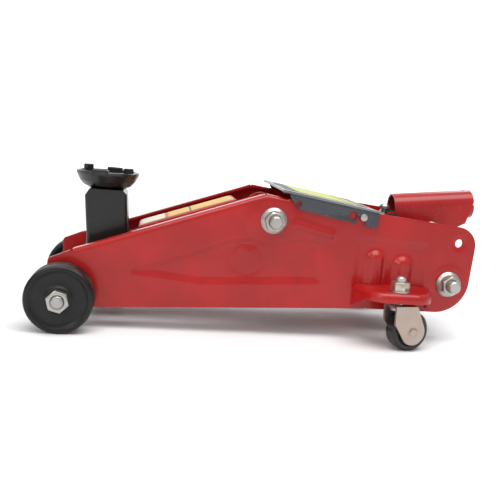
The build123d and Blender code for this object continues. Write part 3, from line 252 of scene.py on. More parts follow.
def choose(kind, test):
    """In edit mode, select only the vertices, edges or faces whose middle passes the test."""
    bpy.ops.mesh.select_mode(type={"verts": "VERT", "edges": "EDGE", "faces": "FACE"}[kind])
    bpy.ops.mesh.select_all(action="DESELECT")
    mesh = bmesh.from_edit_mesh(bpy.context.object.data)
    for element in getattr(mesh, kind):
        if kind == "verts":
            hit = test(element.co)
        elif kind == "edges":
            hit = test((element.verts[0].co + element.verts[1].co) / 2, element)
        else:
            hit = test(element.calc_center_median(), element.normal)
        if hit:
            element.select_set(True)
    mesh.select_flush_mode()
    bmesh.update_edit_mesh(bpy.context.object.data)


def modify(piece, kind, **settings):
    """Add a modifier, set it and apply it."""
    take(piece)
    modifier = piece.modifiers.new(kind, kind)
    for name, setting in settings.items():
        setattr(modifier, name, setting)
    bpy.ops.object.modifier_apply(modifier=modifier.name)


def cut(piece, tool, operation="DIFFERENCE"):
    """Cut a piece with another, which is used up."""
    modify(piece, "BOOLEAN", object=tool, operation=operation, solver="EXACT")
    bpy.data.objects.remove(tool)


def join(pieces):
    """One mesh from several."""
    start_fresh()
    for piece in pieces:
        piece.select_set(True)
    bpy.context.view_layer.objects.active = pieces[0]
    bpy.ops.object.join()
    return pieces[0]


def copy_of(piece):
    """The same shape again, with its own mesh."""
    twin = piece.copy()
    twin.data = piece.data.copy()
    bpy.context.scene.collection.objects.link(twin)
    return twin


def other_side(piece):
    """A copy of a piece on the jack's other side, its faces still outwards."""
    twin = copy_of(piece)
    twin.scale = (1.0, -1.0, 1.0)
    settle(twin)
    bpy.ops.object.mode_set(mode="EDIT")
    bpy.ops.mesh.select_all(action="SELECT")
    bpy.ops.mesh.normals_make_consistent(inside=False)
    bpy.ops.object.mode_set(mode="OBJECT")
    return twin


def hang(piece, name, body, stands_for, material, smooth=32.0):
    """Name a finished piece, give it its finish and put it on its body."""
    settle(piece)
    bpy.ops.object.shade_smooth_by_angle(angle=radians(smooth))
    piece.name = name
    piece.data.name = name
    piece.data.materials.clear()
    piece.data.materials.append(material)
    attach(piece, body)
    if stands_for:
        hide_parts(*stands_for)
    return piece


def trim(point, angle, low_x=-1.0, high_x=1.0, keep=False):
    """Cut the plate's sheet along a line, dropping what lies beyond it along the angle."""
    choose("faces", lambda middle, normal: low_x < middle.x < high_x)
    bpy.ops.mesh.bisect(
        plane_co=(point[0], 0.0, point[1]),
        plane_no=(cos(angle), 0.0, sin(angle)),
        clear_outer=not keep,
    )


def round_off(corner, first, last, radius, steps):
    """Round the plate's corner between its two edges, whose outward angles are first and last."""
    last = first + (last - first + pi) % (2 * pi) - pi
    half = (last - first) / 2
    middle = (first + last) / 2
    reach = radius / cos(half)
    centre = (corner[0] - reach * cos(middle), corner[1] - reach * sin(middle))
    for step in range(1, steps):
        angle = first + (last - first) * step / steps
        rim = (centre[0] + radius * cos(angle), centre[1] + radius * sin(angle))
        trim(rim, angle, corner[0] - 0.045, corner[0] + 0.045)


def outward_angle(start, end):
    """The outward angle of an edge of the plate, taken anticlockwise round it."""
    return atan2(end[1] - start[1], end[0] - start[0]) - pi / 2


front_low = (plate_front, plate_low)
belly = (0.1025, 0.033)
rear_low = (0.208, 0.033)
rear_top = (0.2135, 0.1200)
shoulder = (0.0160, 0.1388)
hump = (-0.0065, 0.1418)
flange_start = (-0.1895, 0.0763)
front_top = (plate_front, 0.0666)

start_fresh()
bpy.ops.mesh.primitive_grid_add(
    x_subdivisions=round((plate_rear - plate_front) / plate_pitch),
    y_subdivisions=round((plate_high - plate_low) / plate_pitch),
    size=1.0,
    location=((plate_front + plate_rear) / 2, -plate_outer, (plate_low + plate_high) / 2),
    rotation=(pi / 2, 0.0, 0.0),
)
plate = bpy.context.object
plate.scale = (plate_rear - plate_front, plate_high - plate_low, 1.0)
settle(plate)
bpy.ops.object.mode_set(mode="EDIT")
slope_angle = outward_angle(hump, flange_start)
crest_angle = outward_angle(shoulder, hump)
trim(belly, outward_angle(front_low, belly), high_x=belly[0])
trim(belly, -pi / 2, low_x=belly[0])
trim(rear_low, outward_angle(rear_low, rear_top))
trim(rear_top, outward_angle(rear_top, shoulder), low_x=shoulder[0])
trim(hump, crest_angle, low_x=hump[0], high_x=shoulder[0])
trim(hump, slope_angle, low_x=flange_start[0], high_x=hump[0])
trim(flange_start, outward_angle(flange_start, front_top), high_x=flange_start[0])
round_off(front_low, -pi, outward_angle(front_low, belly), 0.008, 6)
round_off(rear_low, -pi / 2, outward_angle(rear_low, rear_top), 0.034, 16)
round_off(rear_top, outward_angle(rear_low, rear_top), outward_angle(rear_top, shoulder), 0.020, 10)
round_off(hump, crest_angle, slope_angle, 0.014, 5)
round_off(front_top, outward_angle(flange_start, front_top), pi, 0.004, 4)
for inset in (0.0003, 0.0008, 0.0015, 0.0024):
    for corner, angle, low_x, high_x in (
        (hump, slope_angle, flange_start[0], -0.008),
        (hump, crest_angle, -0.008, shoulder[0]),
    ):
        point = (corner[0] - inset * cos(angle), corner[1] - inset * sin(angle))
        trim(point, angle, low_x, high_x, keep=True)
bpy.ops.mesh.select_all(action="SELECT")
bpy.ops.mesh.remove_doubles(threshold=0.00005)


def smooth_step(value, low, high):
    share = np.clip((value - low) / (high - low), 0.0, 1.0)
    return share * share * (3.0 - 2.0 * share)


def inside_distance(x, z, corners):
    """Distance into a closed outline, negative outside it."""
    nearest = np.full(x.shape, 9.0)
    inside = np.zeros(x.shape, bool)
    for (x0, z0), (x1, z1) in zip(corners, corners[1:] + corners[:1]):
        run_x, run_z = x1 - x0, z1 - z0
        share = np.clip(((x - x0) * run_x + (z - z0) * run_z) / (run_x**2 + run_z**2), 0.0, 1.0)
        nearest = np.minimum(nearest, np.hypot(x - x0 - share * run_x, z - z0 - share * run_z))
        crosses = (z0 > z) != (z1 > z)
        meets = run_x * (z - z0) / (run_z if run_z else 1e-9) + x0
        inside ^= crosses & (x < meets)
    return np.where(inside, nearest, -nearest)


def bar_distance(x, z, start, end):
    """Distance from a line between two points."""
    run_x, run_z = end[0] - start[0], end[1] - start[1]
    share = np.clip(((x - start[0]) * run_x + (z - start[1]) * run_z) / (run_x**2 + run_z**2), 0.0, 1.0)
    return np.hypot(x - start[0] - share * run_x, z - start[1] - share * run_z)


def pressed_height(x, z):
    """How far the pressing stands out of the plate's plane."""
    panel_depth = 0.0020
    seat_height = 0.0010
    bar_height = 0.0022
    dimple_depth = 0.0005
    ring_depth = 0.0004
    bay_depth = 0.0012
    rib_height = 0.0050
    hole_dish = 0.0008
    bolt_pad = 0.0004
    dimple = np.hypot(x + 0.0189, z - 0.0919)
    height = -panel_depth * smooth_step(inside_distance(x, z, sunken_panel), -0.0035, 0.0035)
    from_pivot = np.hypot(x - pivot.x, z - pivot.z)
    seat = 1.0 - smooth_step(from_pivot, 0.020, 0.030)
    height = height * (1.0 - seat) + seat_height * seat
    bar = bar_distance(x, z, (0.0265, 0.1140), (0.0605, 0.1060))
    height += bar_height * (1.0 - smooth_step(bar, 0.0005, 0.0065))
    height -= dimple_depth * (1.0 - smooth_step(dimple, 0.0030, 0.0085))
    ring = np.abs(np.hypot(x + 0.0210, z - 0.0778) - 0.016)
    height -= ring_depth * (1.0 - smooth_step(ring, 0.0, 0.004))
    bay = inside_distance(x, z, [(0.0905, 0.0560), (0.0905, 0.1017), (0.1602, 0.0998), (0.1602, 0.0560)])
    height -= bay_depth * smooth_step(bay, -0.004, 0.003)
    for rib_x, half_width, top in ((0.1092, 0.0102, 0.0946), (0.1381, 0.0116, 0.0907)):
        spine = bar_distance(x, z, (rib_x, 0.050), (rib_x, top - half_width))
        height += rib_height * (1.0 - smooth_step(spine, half_width * 0.30, half_width * 1.04))
    hole = np.hypot(x - carry_hole.x, z - carry_hole.z)
    height -= hole_dish * (1.0 - smooth_step(hole, 0.0048, 0.0085))
    from_bolt = np.hypot(x - rear_bolt.x, z - rear_bolt.z)
    height += bolt_pad * (1.0 - smooth_step(from_bolt, 0.016, 0.022))
    for corner, angle, low_x, high_x in (
        (hump, slope_angle, flange_start[0], hump[0]),
        (hump, crest_angle, hump[0], shoulder[0]),
    ):
        depth = -((x - corner[0]) * cos(angle) + (z - corner[1]) * sin(angle))
        near = np.clip(bend_radius - depth, 0.0, bend_radius)
        turn = bend_radius - np.sqrt(bend_radius**2 - near**2)
        height -= np.where((x >= low_x) & (x <= high_x), turn, 0.0)
    return height


mesh = bmesh.from_edit_mesh(plate.data)
places = np.array([v.co for v in mesh.verts])
raised = pressed_height(places[:, 0], places[:, 2])
for vertex, height in zip(mesh.verts, raised):
    vertex.co.y = -plate_outer - height
bmesh.update_edit_mesh(plate.data)


def on_fold(middle, edge):
    if not edge.is_boundary or not flange_start[0] + 0.0005 < middle.x < shoulder[0] - 0.001:
        return False
    on_slope = middle.z > 0.0695 + 0.355 * (middle.x - flange_start[0])
    return on_slope or middle.x > -0.02 and middle.z > 0.13


choose("edges", on_fold)
bpy.ops.mesh.extrude_region_move(TRANSFORM_OT_translate={"value": (0.0, flange_in - 0.0005, 0.0)})
bpy.ops.object.mode_set(mode="OBJECT")
modify(plate, "SOLIDIFY", thickness=plate_sheet, offset=-1.0)
bpy.ops.mesh.primitive_cylinder_add(
    vertices=40,
    radius=carry_hole_radius,
    depth=0.03,
    location=(carry_hole.x, -plate_outer, carry_hole.z),
    rotation=(pi / 2, 0, 0),
)
cut(plate, settle(bpy.context.object))
modify(plate, "BEVEL", width=0.0004, segments=2, limit_method="ANGLE", angle_limit=radians(50))
far_plate = other_side(plate)
hang(plate, "plate_near", "frame", ["side_plate_left"], red, 40.0)
hang(far_plate, "plate_far", "frame", ["side_plate_right"], red, 40.0)

# ------------------------------------------------------------------ caster shelves
# The foot of each plate is pressed out into a hooded shelf that carries the caster. The metal
# flows into it with open radii, and its cheeks slant down to the plate's lower edge.
shelf_top = 0.0585
shelf_skirt = 0.0485
shelf_outer = 0.1083
shelf_front, shelf_rear = 0.0875, 0.1695
shelf_lap = 0.0004
shelf_corner = 0.015
shelf_lip = 0.0062
shelf_taper = 0.70
cheek_drop = 0.0125
shelf_sheet = 0.0028
king = Vector((0.1275, -0.0954, 0.0))

start_fresh()
bpy.ops.mesh.primitive_cube_add(size=1.0)
shelf = bpy.context.object
shelf.scale = (shelf_rear - shelf_front, shelf_outer - plate_outer + shelf_lap, shelf_top - shelf_skirt)
shelf.location = (
    (shelf_front + shelf_rear) / 2,
    -(plate_outer - shelf_lap + shelf_outer) / 2,
    (shelf_top + shelf_skirt) / 2,
)
settle(shelf)
bpy.ops.object.mode_set(mode="EDIT")
choose("verts", lambda place: place.y < -0.1)
bpy.ops.transform.resize(value=(shelf_taper, 1.0, 1.0))
choose("edges", lambda middle, edge: middle.y < -0.1 and abs(edge.verts[0].co.z - edge.verts[1].co.z) > 0.005)
bpy.ops.mesh.bevel(offset=shelf_corner, segments=9, affect="EDGES")
choose("faces", lambda middle, normal: normal.z < -0.9 or normal.y > 0.9)
bpy.ops.mesh.delete(type="FACE")
choose(
    "edges",
    lambda middle, edge: edge.verts[0].co.z > shelf_top - 0.0002
    and edge.verts[1].co.z > shelf_top - 0.0002
    and middle.y < -plate_outer - 0.0005,
)
bpy.ops.mesh.bevel(offset=shelf_lip, segments=6, affect="EDGES")
choose("verts", lambda place: place.z < shelf_skirt + 0.0002 and place.y > -plate_outer - 0.001)
bpy.ops.transform.translate(value=(0.0, 0.0, -cheek_drop))
bpy.ops.mesh.select_all(action="SELECT")
bpy.ops.mesh.normals_make_consistent(inside=False)
bpy.ops.object.mode_set(mode="OBJECT")
modify(shelf, "SOLIDIFY", thickness=shelf_sheet, offset=-1.0)
modify(shelf, "BEVEL", width=0.0003, segments=1, limit_method="ANGLE", angle_limit=radians(60))
far_shelf = other_side(shelf)
hang(shelf, "shelf_near", "frame", [], red, 40.0)
hang(far_shelf, "shelf_far", "frame", [], red, 40.0)

# ------------------------------------------------------------------ zinc plate
# Bright zinc on the fasteners and forks: pale grey with a faint straw and rose cast, cloudy where
# it has dulled.


def zinc_plate(name, tint=(0.56, 0.50, 0.40, 1.0), straw=0.35, base=(0.40, 0.40, 0.41, 1.0), radius=0.0):
    finish = Finish(name)
    cloud = finish.noise(90.0, 4.0, 0.6)
    spangle = finish.cells(700.0)
    fine = finish.noise(1800.0, 3.0)
    stain = finish.ramp(finish.noise(160.0, 3.0), 0.45, 0.75)
    colour = finish.blend(cloud * straw * 2.0, base, tint)
    colour = finish.blend(stain * 0.22, colour, (0.33, 0.31, 0.29, 1.0))
    return finish.close(
        base_color=colour,
        metallic=0.92,
        roughness=0.22 + cloud * 0.24 + spangle * 0.05,
        height=fine * 0.6 + spangle * 0.4,
        distance=0.00005,
        strength=0.35,
        radius=radius,
    )


zinc = zinc_plate("zinc")
zinc_rounded = zinc_plate("zinc_rounded", radius=0.0004)
yellow_zinc = zinc_plate("yellow_zinc", straw=0.55, base=(0.52, 0.49, 0.42, 1.0))
rose_tint = (0.46, 0.34, 0.27, 1.0)
rose_base = (0.42, 0.37, 0.34, 1.0)
rose_zinc = zinc_plate("rose_zinc", tint=rose_tint, straw=0.5, base=rose_base, radius=0.0004)

# ------------------------------------------------------------------ nuts and bolt ends
# Flanged M12 nuts on the pivot shaft and rear bolts, plain M12 nuts on the axle, and M10 nuts on the
# king bolts. Hexagons are chamfered on both corners of the crown, and the threads are rolled.
turn_steps = 48


def turned(centre, profile, direction, steps=turn_steps):
    """Spin a closed profile of (radius, along) points round an axis through centre."""
    start_fresh()
    bpy.ops.mesh.primitive_plane_add(size=0.001)
    piece = bpy.context.object
    bpy.ops.object.mode_set(mode="EDIT")
    bpy.ops.mesh.select_mode(type="VERT")
    bpy.ops.mesh.select_all(action="SELECT")
    bpy.ops.mesh.merge(type="CENTER")
    start = Vector((profile[0][0], 0.0, profile[0][1]))
    bpy.ops.transform.translate(value=start)
    for radius, along in profile[1:]:
        step = Vector((radius, 0.0, along)) - start
        bpy.ops.mesh.extrude_vertices_move(TRANSFORM_OT_translate={"value": step})
        start += step
    bpy.ops.mesh.select_all(action="SELECT")
    if profile[0][0] > 0.0:
        bpy.ops.mesh.edge_face_add()
        bpy.ops.mesh.delete(type="ONLY_FACE")
        bpy.ops.mesh.select_all(action="SELECT")
    bpy.ops.mesh.spin(steps=steps, angle=2 * pi, center=(0.0, 0.0, 0.0), axis=(0.0, 0.0, 1.0))
    bpy.ops.mesh.select_all(action="SELECT")
    bpy.ops.mesh.remove_doubles(threshold=0.000002)
    bpy.ops.mesh.normals_make_consistent(inside=False)
    bpy.ops.object.mode_set(mode="OBJECT")
    turn = Vector((0.0, 0.0, 1.0)).rotation_difference(Vector(direction))
    piece.rotation_mode = "QUATERNION"
    piece.rotation_quaternion = turn
    piece.location = centre
    return settle(piece)


def hexagon_nut(centre, direction, across_flats, height, bore, turn=0.0):
    """A hexagon nut, chamfered at the crown, seated at centre and reaching along direction."""
    start_fresh()
    corner = across_flats / 2 / cos(pi / 6)
    bpy.ops.mesh.primitive_cylinder_add(
        vertices=6, radius=corner, depth=height + 0.002, location=(0, 0, height / 2)
    )
    piece = settle(bpy.context.object)
    crown = turned(
        (0, 0, 0),
        (
            (0.0, 0.0),
            (corner * 1.1, 0.0),
            (corner * 1.1, height * 0.80),
            (across_flats * 0.465, height),
            (0.0, height),
        ),
        (0, 0, 1),
        64,
    )
    cut(piece, crown, "INTERSECT")
    hole = turned(
        (0, 0, 0),
        (
            (0.0, -0.002),
            (bore, -0.002),
            (bore, height - 0.0009),
            (bore + 0.0012, height + 0.0003),
            (0.0, height + 0.0003),
        ),
        (0, 0, 1),
    )
    cut(piece, hole)
    modify(piece, "BEVEL", width=0.00025, segments=2, limit_method="ANGLE", angle_limit=radians(30))
    piece.rotation_mode = "QUATERNION"
    tip_over = Vector((0, 0, 1)).rotation_difference(Vector(direction))
    piece.rotation_quaternion = tip_over @ Matrix.Rotation(turn, 3, "Z").to_quaternion()
    piece.location = centre
    return settle(piece)


def threaded_end(centre, direction, radius, length, pitch):
    """A thread rolled on a bolt's end, from centre along direction, with a domed tip."""
    start_fresh()
    root = radius - pitch * 0.42
    core = turned(
        (0, 0, 0),
        (
            (0.0, 0.0),
            (root, 0.0),
            (root, length - 0.0010),
            (root - 0.0006, length - 0.0003),
            (root * 0.6, length),
            (0.0, length + 0.0001),
        ),
        (0, 0, 1),
        32,
    )
    bpy.ops.mesh.primitive_circle_add(
        vertices=4, radius=pitch * 0.5, location=(radius - pitch * 0.46, 0, 0), rotation=(pi / 2, 0, 0)
    )
    thread = settle(bpy.context.object)
    turns = int((length - 0.0012) / pitch)
    modify(
        thread,
        "SCREW",
        screw_offset=pitch,
        iterations=turns,
        steps=28,
        render_steps=28,
        use_merge_vertices=False,
        use_normal_calculate=True,
    )
    take(thread)
    bpy.ops.object.mode_set(mode="EDIT")
    bpy.ops.mesh.select_all(action="SELECT")
    bpy.ops.mesh.remove_doubles(threshold=0.00001)
    bpy.ops.mesh.fill_holes(sides=6)
    bpy.ops.mesh.normals_make_consistent(inside=False)
    bpy.ops.object.mode_set(mode="OBJECT")
    piece = join([core, thread])
    piece.rotation_mode = "QUATERNION"
    piece.rotation_quaternion = Vector((0, 0, 1)).rotation_difference(Vector(direction))
    piece.location = centre
    return settle(piece)


nut_pieces = []
end_pieces = []
for place in (pivot, rear_bolt):
    for side in (-1, 1):
        seat = Vector((place.x, side * plate_outer, place.z))
        out = (0, side, 0)
        base = seat + Vector((0, side * 0.0002, 0))
        flange = turned(
            base,
            (
                (0.0062, 0.0),
                (0.0118, 0.0),
                (0.0130, 0.0005),
                (0.0130, 0.0013),
                (0.0126, 0.0018),
                (0.0102, 0.0036),
                (0.0062, 0.0036),
            ),
            out,
        )
        turn = 0.35 if place is pivot else 0.1
        nut_pieces.append(flange)
        nut_pieces.append(hexagon_nut(base + Vector((0, side * 0.001, 0)), out, 0.018, 0.0108, 0.0059, turn))
        end_pieces.append(threaded_end(seat + Vector((0, side * 0.006, 0)), out, 0.006, 0.0138, 0.00175))
hang(join(nut_pieces), "flanged_nuts", "frame", ["flange_nuts"], zinc, 30.0)
hang(join(end_pieces), "bolt_threads", "frame", [], yellow_zinc, 50.0)

axle = Vector((-0.1975, 0.0, 0.0325))
wheel_outer = 0.095
axle_nut_pieces = [
    hexagon_nut((axle.x, side * (wheel_outer + 0.0003), axle.z), (0, side, 0), 0.019, 0.0070, 0.0059, 0.25)
    for side in (-1, 1)
]
hang(join(axle_nut_pieces), "axle_hex_nuts", "frame", ["axle_nuts"], zinc, 30.0)
dome_profile = (
    (0.0, 0.0),
    (0.0058, 0.0),
    (0.0058, 0.0068),
    (0.0055, 0.0080),
    (0.0046, 0.0089),
    (0.0030, 0.0094),
    (0.0, 0.0095),
)
axle_ends = [turned((axle.x, side * wheel_outer, axle.z), dome_profile, (0, side, 0)) for side in (-1, 1)]
hang(join(axle_ends), "axle_domes", "frame", [], rose_zinc, 40.0)

# ------------------------------------------------------------------ front wheels
# Solid moulded wheels with a broad dished face, a raised hub and a rounded tread. The tread has
# picked up dust, and the faces carry the faint rings of their mould.
wheel_radius = 0.0325
wheel_inner = 0.069
wheel_width = wheel_outer - wheel_inner


def moulded_black(name, centre, direction, radius):
    finish = Finish(name)
    across = Vector(direction).normalized()
    place = finish.vector("SUBTRACT", finish.coordinates, centre)
    along = finish.vector("DOT_PRODUCT", place, across, "Value")
    total = finish.vector("DOT_PRODUCT", place, place, "Value")
    from_axis = finish.node("ShaderNodeMath", {"operation": "SQRT"}, {0: total - along * along + 1e-9})
    rings = finish.node("ShaderNodeMath", {"operation": "SINE"}, {0: from_axis * 6000.0})
    cloud = finish.noise(60.0, 4.0, 0.6)
    grain = finish.noise(1500.0, 3.0)
    scratch = finish.ramp(finish.noise(320.0, 4.0, 0.7), 0.60, 0.72)
    tread = finish.ramp(from_axis, radius - 0.0022, radius - 0.0004)
    dust = tread * finish.ramp(cloud, 0.35, 0.7) * 0.30 + scratch * 0.07
    dark, pale = (0.0040, 0.0040, 0.0042, 1.0), (0.0085, 0.0082, 0.0080, 1.0)
    colour = finish.blend(finish.ramp(cloud, 0.3, 0.7), dark, pale)
    colour = finish.blend(dust, colour, (0.16, 0.14, 0.12, 1.0))
    return finish.close(
        base_color=colour,
        metallic=0.0,
        roughness=0.30 + cloud * 0.14 + dust * 0.9,
        specular_ior_level=0.35,
        height=grain * 0.6 + rings * 0.25 * (1.0 - tread) + scratch * 0.4,
        distance=0.00006,
        strength=0.5,
    )


wheel_profile = (
    (0.0061, 0.0003),
    (0.0108, 0.0003),
    (0.0122, 0.0008),
    (0.0130, 0.0020),
    (0.0150, 0.0026),
    (0.0225, 0.0026),
    (0.0255, 0.0022),
    (0.0272, 0.0008),
    (0.0282, 0.0001),
    (0.0296, 0.0),
    (0.0308, 0.0004),
    (0.0318, 0.0012),
    (0.0323, 0.0022),
    (0.0325, 0.0036),
    (0.0325, 0.0125),
    (0.0323, 0.0129),
    (0.0323, 0.0131),
)
outer_half = tuple((radius, wheel_width - along) for radius, along in reversed(wheel_profile[:-1]))
for side, side_name in ((-1, "left"), (1, "right")):
    centre = Vector((axle.x, side * wheel_inner, axle.z))
    wheel = turned(centre, wheel_profile + outer_half, (0, side, 0), 96)
    finish = moulded_black(f"moulded_black_{side_name}", centre, (0, 1, 0), wheel_radius)
    body = f"front_wheel_{side_name}"
    hang(wheel, f"road_wheel_{side_name}", body, [body], finish, 50.0)

# ------------------------------------------------------------------ black enamel
# Satin black enamel on the saddle post, tie rods and spacer; on the cast parts it lies over
# sand-cast texture, and it is rubbed through to metal at the corners.


def black_enamel(name, cast=0.25, radius=0.0005, scuffs=0.5, base=0.0050):
    finish = Finish(name)
    cloud = finish.noise(70.0, 4.0, 0.6)
    sand = finish.noise(1100.0, 4.0, 0.65)
    lumps = finish.noise(260.0, 3.0, 0.5)
    nick = finish.ramp(finish.noise(240.0, 5.0, 0.75), 0.66, 0.72)
    colour = finish.blend(cloud, (base, base, base * 1.05, 1.0), (base * 2.0, base * 1.95, base * 1.9, 1.0))
    colour = finish.blend(nick * scuffs, colour, (0.20, 0.16, 0.13, 1.0))
    dust = finish.ramp(finish.facing_up(), 0.6, 1.0) * finish.ramp(cloud, 0.4, 0.75) * 0.12
    colour = finish.blend(dust, colour, (0.22, 0.20, 0.18, 1.0))
    return finish.close(
        base_color=colour,
        metallic=0.0,
        roughness=0.26 + cloud * 0.14 + nick * 0.25 + dust * 1.5,
        specular_ior_level=0.35,
        coat_weight=0.30 - nick * 0.25,
        coat_roughness=0.15,
        height=sand * cast + lumps * cast * 0.8 - nick * 0.5,
        distance=0.0003,
        strength=0.6,
        radius=radius,
    )


post_black = black_enamel("post_black", cast=0.10, scuffs=0.35)
cast_black = black_enamel("cast_black", cast=0.55, scuffs=0.30)

# ------------------------------------------------------------------ machined and welded parts
# Pins, tubes, springs' anchors, castings and the arm's plates keep the shape they have in the
# frame, and take their finish here: oiled or chromed steel, zinc, enamel or rubber.


def oiled_steel(name, base=0.42, rough=0.24, radius=0.0003):
    finish = Finish(name)
    cloud = finish.noise(110.0, 3.0)
    tool = finish.noise(1400.0, 2.0, 0.5, (1.0, 0.08, 1.0))
    film = finish.ramp(finish.noise(45.0, 3.0), 0.4, 0.7)
    colour = finish.blend(film * 0.5, (base, base, base, 1.0), (base * 0.62, base * 0.55, base * 0.45, 1.0))
    return finish.close(
        base_color=colour,
        metallic=1.0,
        roughness=rough + cloud * 0.16 + film * 0.08,
        height=tool,
        distance=0.00003,
        strength=0.4,
        radius=radius,
    )


machined = oiled_steel("machined_steel")
hard_chrome = oiled_steel("hard_chrome", base=0.62, rough=0.06, radius=0.0)
spring_steel = oiled_steel("spring_steel", base=0.13, rough=0.3, radius=0.0)


def nitrile(name):
    finish = Finish(name)
    cloud = finish.noise(200.0, 3.0)
    return finish.close(
        base_color=finish.blend(cloud, (0.012, 0.012, 0.012, 1.0), (0.028, 0.027, 0.026, 1.0)),
        roughness=0.55 + cloud * 0.2,
        height=finish.noise(2200.0, 2.0),
        distance=0.00004,
        strength=0.5,
    )


plug_rubber = nitrile("plug_rubber")
cad_finishes = {
    "front_axle": machined,
    "axle_washers": zinc_rounded,
    "front_spacer_tube": post_black,
    "arm_pivot_shaft": zinc_rounded,
    "rear_bolts": zinc_rounded,
    "tie_rod_studs": zinc_rounded,
    "pump_casting": cast_black,
    "reservoir_tube": red_rounded,
    "reservoir_cap": cast_black,
    "ram_cylinder": machined,
    "gland_nut": machined,
    "filler_plug": plug_rubber,
    "relief_plug": zinc_rounded,
    "valve_cap": zinc_rounded,
    "spring_anchors": zinc_rounded,
    "pump_barrel": machined,
    "king_bolts": zinc_rounded,
    "king_washers": zinc_rounded,
    "caster_races": zinc_rounded,
    "caster_balls": hard_chrome,
    "arm_plates": red_rounded,
    "arm_top_plate": red_rounded,
    "arm_pivot_tube": red_rounded,
    "ram_lugs": red_rounded,
    "post_pin": zinc_rounded,
    "post_pin_clips": spring_steel,
    "saddle_post": post_black,
    "link_pin": zinc_rounded,
    "link_pin_clips": spring_steel,
    "saddle": cast_black,
    "saddle_clip": spring_steel,
    "tie_rods": post_black,
    "ram": hard_chrome,
    "ram_crosshead": cast_black,
    "crosshead_pin": zinc_rounded,
    "handle_socket": red_rounded,
    "socket_pin": zinc_rounded,
    "socket_pin_clips": spring_steel,
    "pump_roller": machined,
    "roller_pin": zinc_rounded,
    "pump_plunger": hard_chrome,
    "spring_collar": zinc_rounded,
    "release_valve": zinc_rounded,
    "cover_screws": zinc_rounded,
    "caster_fork_left": rose_zinc,
    "caster_fork_right": rose_zinc,
    "caster_axle_left": rose_zinc,
    "caster_axle_right": rose_zinc,
    "caster_wheel_left": post_black,
    "caster_wheel_right": post_black,
}
for node_name, material in cad_finishes.items():
    node = cad[node_name]
    node.data.materials.clear()
    node.data.materials.append(material)

# ------------------------------------------------------------------ cover plate
# A 2 mm sheet over the hydraulic unit, in blue-grey enamel. Its sides are folded down over a 3 mm
# radius, trimmed to a long tongue, and slotted beside the fixing screw.


def grey_enamel(name):
    finish = Finish(name)
    cloud = finish.noise(60.0, 4.0, 0.6)
    peel = finish.noise(1300.0, 2.0)
    # Pale patches on the sharp edges: partly scuffed paint, partly a painted edge highlight.
    nick = finish.ramp(finish.noise(300.0, 4.0, 0.7), 0.64, 0.70)
    scuff_and_edge_highlight = nick * finish.edges()
    colour = finish.blend(cloud, (0.020, 0.024, 0.031, 1.0), (0.036, 0.041, 0.050, 1.0))
    dust = finish.ramp(finish.facing_up(), 0.6, 1.0) * finish.ramp(cloud, 0.4, 0.7) * 0.14
    colour = finish.blend(dust, colour, (0.25, 0.23, 0.21, 1.0))
    return finish.close(
        base_color=finish.blend(scuff_and_edge_highlight * 0.7, colour, (0.22, 0.21, 0.20, 1.0)),
        roughness=0.30 + cloud * 0.12 + scuff_and_edge_highlight * 0.3 + dust,
        metallic=0.0,
        coat_weight=0.45 - cloud * 0.2,
        coat_roughness=0.12,
        height=peel,
        distance=0.00006,
        strength=0.5,
    )


cover_front = Vector((0.0095, 0.0, 0.1475))
cover_rear = Vector((0.1085, 0.0, 0.1323))
cover_half = 0.0682
cover_fall = atan2(cover_front.z - cover_rear.z, cover_rear.x - cover_front.x)
cover_outline = (
    (0.0085, 0.1520),
    (0.0085, 0.1445),
    (0.0165, 0.1438),
    (0.0168, 0.1408),
    (0.0245, 0.1309),
    (0.0290, 0.1289),
    (0.0845, 0.1189),
    (0.0858, 0.1259),
    (0.0868, 0.1268),
    (0.0920, 0.1262),
    (0.0931, 0.1252),
    (0.0941, 0.1180),
    (0.0952, 0.1172),
    (0.1042, 0.1154),
    (0.1057, 0.1160),
    (0.1082, 0.1310),
    (0.1092, 0.1520),
)


def slab(outline, half_width):
    """A block with this outline in the X-Z plane, reaching half_width to either side."""
    start_fresh()
    bpy.ops.mesh.primitive_plane_add(size=0.001)
    piece = bpy.context.object
    bpy.ops.object.mode_set(mode="EDIT")
    bpy.ops.mesh.select_mode(type="VERT")
    bpy.ops.mesh.select_all(action="SELECT")
    bpy.ops.mesh.merge(type="CENTER")
    start = Vector((outline[0][0], -half_width, outline[0][1]))
    bpy.ops.transform.translate(value=start)
    for x, z in outline[1:]:
        step = Vector((x, -half_width, z)) - start
        bpy.ops.mesh.extrude_vertices_move(TRANSFORM_OT_translate={"value": step})
        start += step
    bpy.ops.mesh.select_all(action="SELECT")
    bpy.ops.mesh.edge_face_add()
    bpy.ops.mesh.extrude_region_move(TRANSFORM_OT_translate={"value": (0.0, 2 * half_width, 0.0)})
    bpy.ops.mesh.select_all(action="SELECT")
    bpy.ops.mesh.normals_make_consistent(inside=False)
    bpy.ops.object.mode_set(mode="OBJECT")
    return piece


start_fresh()
bpy.ops.mesh.primitive_plane_add(size=1.0)
cover = bpy.context.object
cover.scale = ((cover_rear - cover_front).length, 2 * cover_half, 1.0)
cover.rotation_euler = (0.0, cover_fall, 0.0)
cover.location = (cover_front + cover_rear) / 2
settle(cover)
bpy.ops.object.mode_set(mode="EDIT")
choose("edges", lambda middle, edge: abs(middle.y) > cover_half - 0.001)
bpy.ops.mesh.extrude_region_move(TRANSFORM_OT_translate={"value": (0.0, 0.0, -0.030)})
choose(
    "edges",
    lambda middle, edge: abs(middle.y) > cover_half - 0.001
    and middle.z > 0.135
    and len(edge.link_faces) == 2,
)
bpy.ops.mesh.bevel(offset=0.0034, segments=7, affect="EDGES")
bpy.ops.mesh.select_all(action="SELECT")
bpy.ops.mesh.normals_make_consistent(inside=False)
choose("faces", lambda middle, normal: abs(middle.y) < 0.01 and middle.z > 0.13)
top_points_down = any(face.select and face.normal.z < 0 for face in bmesh.from_edit_mesh(cover.data).faces)
